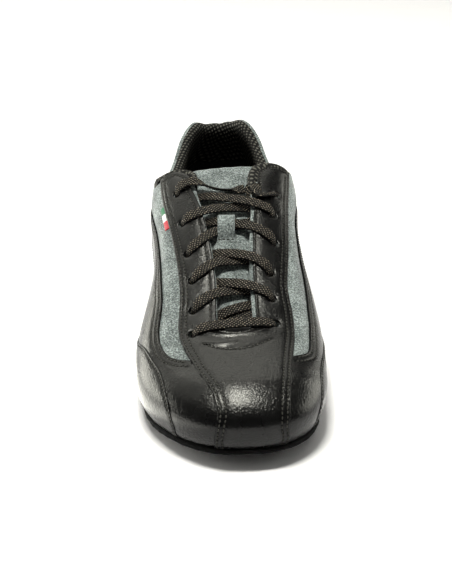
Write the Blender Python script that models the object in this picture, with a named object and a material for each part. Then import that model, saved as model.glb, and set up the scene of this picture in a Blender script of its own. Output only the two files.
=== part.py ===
"""Dance sneaker for the right foot: sole, hollow upper, leather overlays, tongue and lace.

The toe points to -Y, the medial side is +X, Z is up, and the sole stands on z = 0.
Sizes below are in millimetres and the meshes are in metres. Every piece of the upper is a
patch of one last function: skin(side, s, angle, offset). s is the distance from the toe tip
along the shoe. angle goes round the section: -90 at the sole, 0 at the widest line, 90 at
the ridge. A negative offset goes into the shoe.
"""
import math

import bmesh
import bpy
import numpy as np
from mathutils.geometry import delaunay_2d_cdt

# Driving dimensions, mm
LENGTH = 286.0
CENTRE_X = 3.40            # moves the shoe so that its box is centred on x = 0
CENTRE_Y = 142.64          # distance from the toe tip to the origin
TOE_ROUND = 48.0
TOE_POWER = 2.35
HEEL_ROUND = 36.0
HEEL_POWER = 2.1
TOE_POLE = 26.0            # where the section fan of the toe ends on the ridge
TOE_FAN = 75.0
HEEL_POLE = 250.0
HEEL_FAN = 205.0
UNDER_TURN = 60.0          # how far the section turns in below its widest line

LEATHER = 1.2
GAP = 0.3
SHELL_OUT = -(LEATHER + 0.45)
SHELL_WALL = 2.5
SHELL_IN = SHELL_OUT - SHELL_WALL
LINING_WALL = 4.0
LINING_DEPTH = 27.0        # section angle covered by the padded lining
LINING_OUT = SHELL_IN - 0.7
TONGUE_OUT = SHELL_IN - 1.1
TONGUE_WALL = 2.8
SOLE_WALL = 4.6
SOLE_TOE = 2.8             # thinner edge at the toe
SOLE_MARGIN = 1.0
INSOLE_WALL = 4.2
HEEL_BREAST = 204.0
HOLE_RADIUS = 2.2
EDGE_SETBACK = 3.0         # the suede edge showing beside the throat
LACE_WIDTH = 6.4
LACE_THICK = 1.5
MESH_STEP = 8.0

# The last, one row per section
LAST_COLUMNS = ("s", "axis_x", "lateral", "medial", "feather_z", "widest_up", "tuck",
                "ridge_z", "power")
LAST = (
    (0.0, 6.0, 37.0, 45.6, 10.8, 10.0, 2.3, 33.0, 2.3),
    (30.0, 6.0, 47.0, 45.0, 7.4, 13.0, 3.8, 37.5, 2.3),
    (60.0, 4.5, 50.4, 48.0, 5.2, 15.0, 4.8, 43.5, 2.4),
    (90.0, 3.0, 46.8, 49.0, 4.6, 18.0, 4.8, 56.5, 2.6),
    (120.0, 2.0, 41.6, 45.6, 5.6, 25.0, 5.8, 72.0, 2.9),
    (150.0, 1.0, 41.8, 43.9, 8.2, 35.0, 8.0, 87.0, 3.3),
    (180.0, 0.5, 43.8, 45.7, 11.8, 41.0, 8.0, 98.0, 3.7),
    (215.0, 0.0, 39.3, 41.0, 15.0, 30.0, 4.5, 108.0, 2.7),
    (250.0, 0.0, 34.0, 34.0, 16.5, 24.0, 1.8, 114.0, 2.1),
    (286.0, 0.0, 34.0, 33.5, 17.0, 24.0, 2.0, 116.0, 2.1),
)

# Collar height, from the low point at the ankle to the twin rise at the heel
COLLAR = {
    -1: ((214.0, 66.0), (230.0, 68.5), (245.0, 75.0), (258.0, 83.0), (266.0, 87.4),
         (272.0, 89.7), (276.5, 90.1), (280.5, 88.4), (283.8, 86.6), (286.0, 86.2)),
    1: ((214.0, 66.0), (230.0, 68.5), (245.0, 75.0), (258.0, 83.2), (266.0, 87.9),
        (272.0, 90.3), (277.0, 91.3), (281.0, 90.8), (284.0, 88.6), (286.0, 86.2)),
}
# Collar between the throat corner and the ankle: (s, angle) and then (s, height)
TAB = {-1: ((160.5, 69.0), (165.4, 57.0), (168.5, 43.0)),
       1: ((164.5, 68.5), (171.0, 57.0), (174.5, 43.0))}
COLLAR_FRONT = {-1: ((177.0, 80.0), (187.0, 73.0), (199.0, 68.0)),
                1: ((182.0, 82.5), (191.0, 75.0), (201.0, 69.0))}
# Throat edge: s, lateral x, medial x
THROAT = ((68.0, -3.4, 15.0), (88.0, -3.7, 14.4), (110.0, -6.3, 14.8), (133.0, -11.2, 16.4),
          (152.0, -15.8, 16.9))
THROAT_END = 55.5

# Seams as (s, angle)
CENTRE_SEAM = {
    -1: ((1.5, -90), (1.4, -60), (1.2, -10), (1.1, 24.6), (1.5, 39.4), (2.7, 48.8), (4.9, 56.4),
         (8.1, 59.8), (13.5, 62.4), (19.5, 63.2), (25.5, 63.2), (35.7, 62.8), (44.2, 61.1),
         (52.8, 59.4), (60.4, 58.6), (67.1, 59), (76, 59.4), (85.8, 59), (98.5, 56.4),
         (112.4, 52.2), (127.3, 47.5), (143.2, 43.3), (155, 42.2), (164.4, 43), (168.2, 42.7)),
    1: ((5.6, -90), (5.3, -50), (4.8, -10), (4.7, 6), (5.9, 25.4), (8.4, 37.7), (14.1, 47.5),
        (21.7, 51.8), (31.6, 53.9), (40.4, 53.9), (48.1, 53), (57.2, 51.8), (64.9, 51.8),
        (72.8, 52.2), (78.8, 53), (86, 53.9), (90.2, 53.8), (98.1, 52.2), (106.4, 50.1),
        (116.8, 47.5), (127.9, 45), (141.6, 42.4), (155, 41.1), (165, 41), (174.3, 41.5)),
}
SUEDE_EDGE = {
    -1: ((34.9, 62.7), (37.6, 56.5), (40.8, 52.5), (44.2, 50), (48.7, 47.9), (52.8, 46.7),
         (58.2, 45.5), (64.9, 45.1), (71.5, 45.7), (78, 46.2), (84.2, 46), (91.2, 44.6),
         (98.5, 42.4), (106.4, 39.9), (114.6, 36.8), (123.8, 33.2), (137.7, 28.6),
         (149.2, 24), (161.2, 17.4), (180, 10), (205, 3), (222, -8)),
    1: ((41, 53.7), (43.3, 49.4), (46.5, 44), (50.3, 40.7), (56.6, 39), (63, 38.6),
        (72.5, 37.8), (87, 37.6), (101.3, 35.9), (114.6, 34.9), (123.2, 33), (133, 29.7),
        (148.4, 26.1), (175, 14), (205, 3), (222, -8)),
}
FOXING_EDGE = {
    -1: ((12.2, -90), (12.1, -70), (11.7, -34), (12.2, -12.8), (12.9, 6.3), (14.4, 18.2),
         (16.4, 25), (18.3, 29.3), (21.1, 33.4), (24.9, 37.4), (28.7, 39.8), (32.5, 40.9),
         (36.3, 41), (41.7, 39.9), (46.2, 38.2), (50.6, 36.3), (55, 34), (59.1, 31),
         (63.6, 26.3), (67.5, 21.4), (76, 14.5), (87, 7.5), (110, -4), (150, -12), (190, -13),
         (222, -9), (242, -3), (258, 1), (270, 3), (279, 4), (284, 4.5), (285.6, 4.5),
         (286, 4.5)),
    1: ((18.6, -90), (18.6, -60), (18.8, -29.8), (19.4, -11.1), (20.6, -1.2), (21.9, 8.4),
        (24.6, 15.8), (27.8, 21.4), (32.4, 25.7), (37.9, 27.8), (45.2, 27), (53, 23.6),
        (61.9, 18.3), (73, 12.5), (87, 6.5), (110, -4), (150, -12), (190, -13), (222, -9),
        (242, -3), (258, 1), (270, 3), (279, 4), (284, 4.5), (285.6, 4.5), (286, 4.5)),
}
# Lace holes from the toe upward, as (s, angle)
HOLES = {-1: ((56.1, 66.8), (71.8, 67.5), (89.9, 66.5), (106.9, 62.2), (127.1, 57.2),
              (147.6, 54.6)),
         1: ((63.7, 63.6), (79.1, 64.7), (94.4, 64.1), (114.2, 58.3), (132.3, 56.1),
             (148.0, 51.8))}
TONGUE_EDGE = ((42.0, -8.0, 16.0), (60.0, -16.0, 24.0), (100.0, -20.0, 27.0),
               (140.0, -24.0, 30.0), (164.0, -26.0, 31.0))
TONGUE_TOP = 169.0
TAB_SIZE = (5.0, 18.4)     # side tab: width as a section angle, length
TAB_AT = (138.0, 40.6)     # its middle, as (s, angle)
TAB_SLANT = -0.24          # how its angle falls along the seam


# The last function
def spline_rows(knots, values, at):
    """Natural cubic spline through the rows of a table."""
    knots = np.array(knots, float)
    values = np.array(values, float)
    count = len(knots)
    step = np.diff(knots)
    matrix = np.eye(count)
    right = np.zeros(count)
    for i in range(1, count - 1):
        matrix[i, i - 1:i + 2] = step[i - 1], 2 * (step[i - 1] + step[i]), step[i]
        right[i] = 6 * ((values[i + 1] - values[i]) / step[i]
                        - (values[i] - values[i - 1]) / step[i - 1])
    second = np.linalg.solve(matrix, right)
    k = np.clip(np.searchsorted(knots, at) - 1, 0, count - 2)
    a = (knots[k + 1] - at) / step[k]
    b = 1 - a
    bend = ((a ** 3 - a) * second[k] + (b ** 3 - b) * second[k + 1]) * step[k] ** 2 / 6
    return a * values[k] + b * values[k + 1] + bend


STATION = np.linspace(0.0, LENGTH, 5721)
SHAPE = {name: spline_rows([row[0] for row in LAST], [row[i] for row in LAST], STATION)
         for i, name in enumerate(LAST_COLUMNS)}


def size_at(name, s):
    return np.interp(s, STATION, SHAPE[name])


def end_round(s):
    toe = np.clip(1 - s / TOE_ROUND, 0, 1)
    heel = np.clip(1 - (LENGTH - s) / HEEL_ROUND, 0, 1)
    return ((1 - toe ** TOE_POWER) ** (1 / TOE_POWER)
            * (1 - heel ** HEEL_POWER) ** (1 / HEEL_POWER))


def outline_x(side, s):
    width = np.where(side < 0, size_at("lateral", s), size_at("medial", s))
    return size_at("axis_x", s) + side * width * end_round(s)


def ridge_station(s):
    toe_power = TOE_FAN / (TOE_FAN - TOE_POLE)
    heel_power = (LENGTH - HEEL_FAN) / (HEEL_POLE - HEEL_FAN)
    toe = TOE_POLE + (TOE_FAN - TOE_POLE) * (np.clip(s, 0, TOE_FAN) / TOE_FAN) ** toe_power
    back = np.clip(LENGTH - s, 0, LENGTH - HEEL_FAN) / (LENGTH - HEEL_FAN)
    heel = HEEL_POLE - (HEEL_POLE - HEEL_FAN) * back ** heel_power
    return np.where(s < TOE_FAN, toe, np.where(s > HEEL_FAN, heel, s))


def section_frame(side, s):
    """Plan points of the ridge and of the widest line for a section."""
    ridge = ridge_station(s)
    return size_at("axis_x", ridge), ridge, outline_x(side, s), s


def raw_point(side, s, angle):
    ridge_x, ridge_y, wide_x, wide_y = section_frame(side, s)
    power = size_at("power", ridge_y)
    length = np.hypot(ridge_x - wide_x, ridge_y - wide_y)
    in_x = (ridge_x - wide_x) / length
    in_y = (ridge_y - wide_y) / length
    tuck = size_at("tuck", s)
    rise = size_at("widest_up", s)
    wide_z = size_at("feather_z", s + in_y * tuck) + rise
    up = np.radians(np.clip(angle, 0, 90))
    radius = (np.cos(up) ** power + np.sin(up) ** power) ** (-1 / power)
    inward = (1 - radius * np.cos(up)) * length
    low = np.radians(np.clip(-angle, 0, 90) * UNDER_TURN / 90)
    end = math.radians(UNDER_TURN)
    inward = inward + tuck * (1 - np.cos(low)) / (1 - math.cos(end))
    x = wide_x + in_x * inward
    y = wide_y + in_y * inward
    top = size_at("ridge_z", np.clip(y, 0, LENGTH))
    z = np.where(angle >= 0, wide_z + (top - wide_z) * radius * np.sin(up),
                 wide_z - rise * np.sin(low) / math.sin(end))
    return np.stack([x - CENTRE_X, y - CENTRE_Y, z], -1)


def skin(side, s, angle, offset=0.0):
    """Points of the finished outside, moved along the surface normal by offset."""
    side, s, angle = np.broadcast_arrays(np.asarray(side, float), np.asarray(s, float),
                                         np.asarray(angle, float))
    ds = 0.4
    da = 0.6
    s0 = np.clip(s, ds, LENGTH - ds)
    a0 = np.clip(angle, -90 + da, 90 - da)
    along = raw_point(side, s0 + ds, a0) - raw_point(side, s0 - ds, a0)
    around = raw_point(side, s0, a0 + da) - raw_point(side, s0, a0 - da)
    normal = np.cross(along, around)
    normal = normal * side[..., None]
    normal = normal / np.linalg.norm(normal, axis=-1, keepdims=True)
    near = outline_x(side, s) - size_at("axis_x", s)
    away = outline_x(side, s0) - size_at("axis_x", s0)
    normal[..., 0] *= np.clip(near / away, 0, 1)
    normal = normal / np.linalg.norm(normal, axis=-1, keepdims=True)
    return raw_point(side, s, angle) + normal * np.asarray(offset)[..., None]


# A flat chart of the whole upper, so that patches can be cut across the ridge
def to_chart(side, s, angle):
    ridge_x, ridge_y, wide_x, wide_y = section_frame(np.asarray(side, float),
                                                     np.asarray(s, float))
    reach = (90 - np.asarray(angle, float)) / 90
    return np.stack([ridge_x + (wide_x - ridge_x) * reach,
                     ridge_y + (wide_y - ridge_y) * reach], -1)


def from_chart(points):
    x = points[:, 0]
    y = points[:, 1]
    side = np.where(x < size_at("axis_x", np.clip(y, TOE_POLE, HEEL_POLE)), -1.0, 1.0)
    low = np.zeros(len(x))
    high = np.full(len(x), LENGTH)
    for _ in range(40):
        middle = (low + high) / 2
        ridge_x, ridge_y, wide_x, wide_y = section_frame(side, middle)
        turn = ((wide_x - ridge_x) * (y - ridge_y) - (wide_y - ridge_y) * (x - ridge_x)) * side
        low = np.where(turn > 0, middle, low)
        high = np.where(turn > 0, high, middle)
    s = (low + high) / 2
    ridge_x, ridge_y, wide_x, wide_y = section_frame(side, s)
    reach = np.hypot(x - ridge_x, y - ridge_y) / np.hypot(wide_x - ridge_x, wide_y - ridge_y)
    return side, s, np.clip(90 - 90 * reach, -90, 90)


def angle_at_x(side, s, x):
    """Section angle where the upper part of a section passes a given x."""
    ridge_x, ridge_y, wide_x, _ = section_frame(side, s)
    power = size_at("power", ridge_y)
    across = np.clip((ridge_x - x) / (ridge_x - wide_x), 0, 1)
    return np.degrees(np.arctan2((1 - across ** power) ** (1 / power), across))


def angle_at_height(side, s, z):
    low = np.zeros(np.shape(s))
    high = np.full(np.shape(s), 90.0)
    for _ in range(40):
        middle = (low + high) / 2
        above = raw_point(side, s, middle)[..., 2] > z
        high = np.where(above, middle, high)
        low = np.where(above, low, middle)
    return (low + high) / 2


# Curves in the chart
def smooth_line(points, step=MESH_STEP):
    """Rounded line through chart points, cut in even steps."""
    points = np.array(points, float)
    ends = np.vstack([2 * points[0] - points[1], points, 2 * points[-1] - points[-2]])
    fine = []
    for i in range(1, len(ends) - 2):
        p0, p1, p2, p3 = ends[i - 1:i + 3]
        for t in np.linspace(0, 1, 16, endpoint=False):
            fine.append(0.5 * (2 * p1 + (p2 - p0) * t + (2 * p0 - 5 * p1 + 4 * p2 - p3) * t ** 2
                               + (3 * p1 - p0 - 3 * p2 + p3) * t ** 3))
    fine.append(ends[-2])
    return even_line(np.array(fine), step)


def even_line(fine, step=MESH_STEP):
    run = np.concatenate([[0], np.cumsum(np.hypot(*np.diff(fine, axis=0).T))])
    count = max(1, int(round(run[-1] / step)))
    at = np.linspace(0, run[-1], count + 1)
    return np.stack([np.interp(at, run, fine[:, 0]), np.interp(at, run, fine[:, 1])], -1)


def seam(rows, side):
    rows = np.array(rows, float)
    return smooth_line(to_chart(side, rows[:, 0], rows[:, 1]))


def feather(side, s0, s1):
    s = np.linspace(s0, s1, 400)
    return even_line(to_chart(side, s, np.full(400, -90.0)))


def throat_half(side, setback):
    """Throat edge of one side, from its rounded end up to the tab corner."""
    column = 1 if side < 0 else 2
    middle = 0.5 * (THROAT[0][1] + THROAT[0][2])
    half = 0.5 * (THROAT[0][2] - THROAT[0][1]) + setback
    first = THROAT[0][0]
    depth = first - THROAT_END + setback
    line = []
    for turn in np.radians((0, 22, 45, 67)):
        x = middle + side * half * math.sin(turn)
        s = first - depth * math.cos(turn)
        line.append((x, s))
    for row in THROAT:
        line.append((row[column] + side * setback, row[0]))
    chart = []
    for x, s in line:
        x_axis = float(size_at("axis_x", s))
        where = 1.0 if x > x_axis else -1.0
        chart.append(to_chart(where, s, angle_at_x(where, s, x)))
    return chart


def collar_half(side, setback):
    """Collar edge of one side, from the tab corner back to the heel middle."""
    chart = []
    for s, angle in TAB[side]:
        chart.append(to_chart(side, s - setback * 0.6, angle - setback * 0.5))
    rows = np.array(COLLAR_FRONT[side] + COLLAR[side], float)
    angle = angle_at_height(side, rows[:, 0], rows[:, 1] - setback)
    for s, a in zip(rows[:, 0], angle):
        chart.append(to_chart(side, s, a))
    return chart


def opening_loop(setback=0.0):
    lateral = throat_half(-1, setback) + collar_half(-1, setback)
    medial = throat_half(1, setback) + collar_half(1, setback)
    right = smooth_line(medial)
    left = smooth_line(lateral)
    return np.vstack([right, left[::-1][1:-1]])


def hole_loop(side, s, angle, radius, count=8):
    """Round hole on the skin, found from the local slopes of the last function."""
    side_array = np.array([float(side)])
    along = (raw_point(side_array, np.array([s + 0.5]), np.array([angle]))
             - raw_point(side_array, np.array([s - 0.5]), np.array([angle])))[0]
    around = (raw_point(side_array, np.array([s]), np.array([angle + 0.5]))
              - raw_point(side_array, np.array([s]), np.array([angle - 0.5])))[0]
    first = along / np.linalg.norm(along)
    second = around - first * (around @ first)
    second = second / np.linalg.norm(second)
    slopes = np.stack([along, around], -1)
    loop = []
    for k in range(count):
        turn = 2 * math.pi * k / count
        goal = radius * (math.cos(turn) * first + math.sin(turn) * second)
        move = np.linalg.lstsq(slopes, goal, rcond=None)[0]
        loop.append(to_chart(float(side), s + move[0], angle + move[1]))
    return np.array(loop)


def join_lines(lines):
    """Closed loop from lines that follow each other, without doubled points."""
    points = []
    for line in lines:
        for point in line:
            if not points or np.hypot(*(point - points[-1])) > 0.4:
                points.append(point)
    while np.hypot(*(points[0] - points[-1])) < 0.4:
        points.pop()
    return np.array(points)


def inside(points, loop):
    hit = np.zeros(len(points), bool)
    x = points[:, 0]
    y = points[:, 1]
    for (x0, y0), (x1, y1) in zip(loop, np.roll(loop, -1, 0)):
        cross = (y0 > y) != (y1 > y)
        if y1 != y0:
            hit ^= cross & (x < (x1 - x0) * (y - y0) / (y1 - y0) + x0)
    return hit


def clear_of(points, loop, distance):
    near = np.full(len(points), 1e9)
    for a, b in zip(loop, np.roll(loop, -1, 0)):
        along = b - a
        t = np.clip(((points - a) @ along) / max(along @ along, 1e-9), 0, 1)
        near = np.minimum(near, np.hypot(*(points - a - t[:, None] * along).T))
    return near > distance


def lattice():
    """Grid of chart points shared by every patch, so that facets lie parallel."""
    s = np.linspace(0, LENGTH, 4000)
    points = []
    for side in (-1.0, 1.0):
        x = outline_x(side, s)
        run = np.concatenate([[0], np.cumsum(np.hypot(np.diff(x), np.diff(s)))])
        count = int(run[-1] / MESH_STEP)
        stations = np.interp(np.arange(count + 1) * run[-1] / count, run, s)
        for k, station in enumerate(stations):
            if side > 0 and k in (0, count):
                continue
            for angle in (-66, -33, 0, 14, 28, 42, 54, 66, 78):
                points.append(to_chart(side, station, angle))
    for y in np.arange(TOE_POLE, HEEL_POLE + 1, MESH_STEP):
        points.append((float(size_at("axis_x", y)), y))
    return np.array(points)


LATTICE = lattice()


# Mesh building
def new_object(name, points, faces, material, group):
    mesh = bpy.data.meshes.new(name)
    mesh.from_pydata([tuple(float(c) * 0.001 for c in p) for p in points], [], faces)
    mesh.validate()
    build = bmesh.new()
    build.from_mesh(mesh)
    bmesh.ops.triangulate(build, faces=build.faces)
    bmesh.ops.recalc_face_normals(build, faces=build.faces)
    if build.calc_volume(signed=True) < 0:
        bmesh.ops.reverse_faces(build, faces=build.faces)
    build.to_mesh(mesh)
    build.free()
    piece = bpy.data.objects.new(name, mesh)
    group.objects.link(piece)
    piece.data.materials.append(material)
    return piece


def net_of(loops, seams=()):
    """Triangle net of the chart inside the first loop, outside the others, along the seams."""
    grid = LATTICE[inside(LATTICE, loops[0])]
    for hole in loops[1:]:
        grid = grid[~inside(grid, hole)]
    for k, loop in enumerate(loops):
        grid = grid[clear_of(grid, loop, MESH_STEP * (0.42 if k == 0 else 0.3))]
    for line in seams:
        there_and_back = np.vstack([line, line[::-1]])
        grid = grid[clear_of(grid, there_and_back, MESH_STEP * 0.4)]
    points = []
    edges = []
    for loop in loops:
        start = len(points)
        points += [tuple(p) for p in loop]
        count = len(loop)
        edges += [(start + k, start + (k + 1) % count) for k in range(count)]
    for line in seams:
        start = len(points)
        points += [tuple(p) for p in line]
        edges += [(start + k, start + k + 1) for k in range(len(line) - 1)]
    points += [tuple(p) for p in grid]
    flat, _, triangles, _, _, _ = delaunay_2d_cdt(points, edges, [], 0, 0.02)
    flat = np.array([tuple(p) for p in flat])
    triangles = np.array([tuple(t) for t in triangles])
    corners = flat[triangles]
    area = ((corners[:, 1, 0] - corners[:, 0, 0]) * (corners[:, 2, 1] - corners[:, 0, 1])
            - (corners[:, 1, 1] - corners[:, 0, 1]) * (corners[:, 2, 0] - corners[:, 0, 0]))
    triangles[area < 0] = triangles[area < 0][:, ::-1]
    return cut_net((flat, triangles), loops)


def cut_net(net, loops):
    flat, triangles = net
    middle = flat[triangles].mean(1)
    keep = inside(middle, loops[0])
    for hole in loops[1:]:
        keep &= ~inside(middle, hole)
    return flat, triangles[keep]


def solid(name, net, low, high, material, group, gap=0.0):
    """Closed solid over a net, between two offsets of the skin, its rim drawn in by gap."""
    flat, triangles = net
    used, triangles = np.unique(triangles, return_inverse=True)
    triangles = triangles.reshape(-1, 3)
    flat = flat[used].copy()
    sides = set()
    for a, b, c in triangles.tolist():
        sides.update(((a, b), (b, c), (c, a)))
    rim = [(a, b) for a, b in sides if (b, a) not in sides]
    draw = np.zeros_like(flat)
    for a, b in rim:
        way = flat[b] - flat[a]
        way = way / np.linalg.norm(way)
        draw[a] += (-way[1], way[0])
        draw[b] += (-way[1], way[0])
    size = np.linalg.norm(draw, axis=1)
    size[size < 0.3] = 1.0
    flat += gap * draw / size[:, None]
    side, s, angle = from_chart(flat)
    count = len(flat)
    points = np.vstack([skin(side, s, angle, np.full(count, float(high))),
                        skin(side, s, angle, np.full(count, float(low)))])
    faces = [tuple(t) for t in triangles.tolist()]
    faces += [(c + count, b + count, a + count) for a, b, c in triangles.tolist()]
    faces += [(b, a, a + count, b + count) for a, b in rim]
    return new_object(name, points, faces, material, group)


def chart_path(start, end, count, cut=0.0):
    """Chart points on a straight run, ending short of the end by cut (a fraction)."""
    t = np.linspace(0, 1 - cut, count)[:, None]
    return start + (end - start) * t


def ribbon(name, runs, material, group, width=LACE_WIDTH, thick=LACE_THICK):
    """Flat strips swept along runs of (points, normals), joined to one solid."""
    pieces = []
    for points, normals in runs:
        tangents = np.gradient(points, axis=0)
        tangents = tangents / np.linalg.norm(tangents, axis=1)[:, None]
        across = np.cross(tangents, normals)
        across = across / np.linalg.norm(across, axis=1)[:, None]
        upward = np.cross(across, tangents)
        half = width / 2
        ring = ((-half, 0.5), (-half + 0.7, 0.0), (half - 0.7, 0.0), (half, 0.5),
                (half - 0.7, 1.0), (-half + 0.7, 1.0))
        verts = []
        for p, a, u in zip(points, across, upward):
            verts += [p + a * side + u * up * thick for side, up in ring]
        size = len(ring)
        faces = [tuple(range(size))[::-1]]
        for i in range(len(points) - 1):
            for k in range(size):
                n = (k + 1) % size
                faces.append((i * size + k, i * size + n, (i + 1) * size + n,
                              (i + 1) * size + k))
        last = (len(points) - 1) * size
        faces.append(tuple(last + k for k in range(size)))
        pieces.append(new_object(name if not pieces else name + "_second", verts, faces,
                                 material, group))
    if len(pieces) == 2:
        join = pieces[0].modifiers.new("join", "BOOLEAN")
        join.operation = "UNION"
        join.solver = "EXACT"
        join.object = pieces[1]
        bpy.context.view_layer.objects.active = pieces[0]
        bpy.ops.object.modifier_apply(modifier="join")
        bpy.data.objects.remove(pieces[1], do_unlink=True)
    return pieces[0]


def lace_run(start, end, heights, count=10, cut=0.0):
    """Lace from chart point to chart point; heights are (fraction, offset) rows."""
    path = chart_path(start, end, count, cut)
    side, s, angle = from_chart(path)
    t = np.linspace(0, 1 - cut, count)
    rows = np.array(heights, float)
    lift = np.interp(t, rows[:, 0], rows[:, 1])
    points = skin(side, s, angle, lift)
    normals = skin(side, s, angle, lift + 1.0) - points
    return points, normals


def throat_share(start, end, side):
    """Share of a run from start to end at which it meets the throat edge of one side."""
    path = chart_path(start, end, 200)
    sides, s, angle = from_chart(path)
    x = raw_point(sides, s, angle)[:, 0] + CENTRE_X
    column = 1 if side < 0 else 2
    edge = np.interp(s, [row[0] for row in THROAT], [row[column] for row in THROAT])
    beyond = (x - edge) * side > 0
    if side * (end[0] - start[0]) > 0:
        return float(np.argmax(beyond)) / 199
    return float(np.argmax(~beyond)) / 199


def plan_edge(side, s, margin):
    """Plan points of the feather line moved outward by margin."""
    points = raw_point(side, s, np.full(len(s), -90.0))
    ridge_x, ridge_y, wide_x, wide_y = section_frame(side, s)
    out = np.stack([wide_x - ridge_x, wide_y - ridge_y], -1)
    out = out / np.linalg.norm(out, axis=1)[:, None]
    return points[:, :2] + out * margin


def slab(name, margin, stations, top_at, bottom_at, material, group, across=4):
    """Solid between a top and a bottom height function over the outline of the last."""
    left = plan_edge(np.full(len(stations), -1.0), stations, margin)
    right = plan_edge(np.full(len(stations), 1.0), stations, margin)
    verts = []
    index = {}
    for level, height in (("top", top_at), ("bottom", bottom_at)):
        for i in range(len(stations)):
            closed = np.linalg.norm(left[i] - right[i]) < 1.0
            for k in range(across + 1):
                if closed and k > 0:
                    index[level, i, k] = index[level, i, 0]
                    continue
                point = left[i] + (right[i] - left[i]) * k / across
                index[level, i, k] = len(verts)
                verts.append((point[0], point[1], height(point[1])))
    faces = []

    def add(corners):
        distinct = []
        for corner in corners:
            if corner not in distinct:
                distinct.append(corner)
        if len(distinct) > 2:
            faces.append(tuple(distinct))

    for i in range(len(stations) - 1):
        for k in range(across):
            add([index["top", i, k], index["top", i, k + 1],
                 index["top", i + 1, k + 1], index["top", i + 1, k]])
            add([index["bottom", i, k], index["bottom", i + 1, k],
                 index["bottom", i + 1, k + 1], index["bottom", i, k + 1]])
        for k in (0, across):
            add([index["top", i, k], index["top", i + 1, k],
                 index["bottom", i + 1, k], index["bottom", i, k]])
    for i in (0, len(stations) - 1):
        for k in range(across):
            if index["top", i, k] != index["top", i, k + 1]:
                add([index["top", i, k], index["bottom", i, k],
                     index["bottom", i, k + 1], index["top", i, k + 1]])
    return new_object(name, verts, faces, material, group)


def feather_height(y):
    return float(size_at("feather_z", np.clip(y + CENTRE_Y, 0, LENGTH)))


def sole_under(y):
    """Underside of the sole, thin at the toe and of full wall from the ball on."""
    share = min(max((y + CENTRE_Y - 15) / 60, 0.0), 1.0)
    wall = SOLE_TOE + (SOLE_WALL - SOLE_TOE) * share ** 2 * (3 - 2 * share)
    return max(0.0, feather_height(y) - GAP - wall)


def make_material(name, color, roughness):
    material = bpy.data.materials.new(name)
    material.use_nodes = True
    shader = material.node_tree.nodes["Principled BSDF"]
    shader.inputs["Base Color"].default_value = (*color, 1.0)
    shader.inputs["Roughness"].default_value = roughness
    return material


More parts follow.
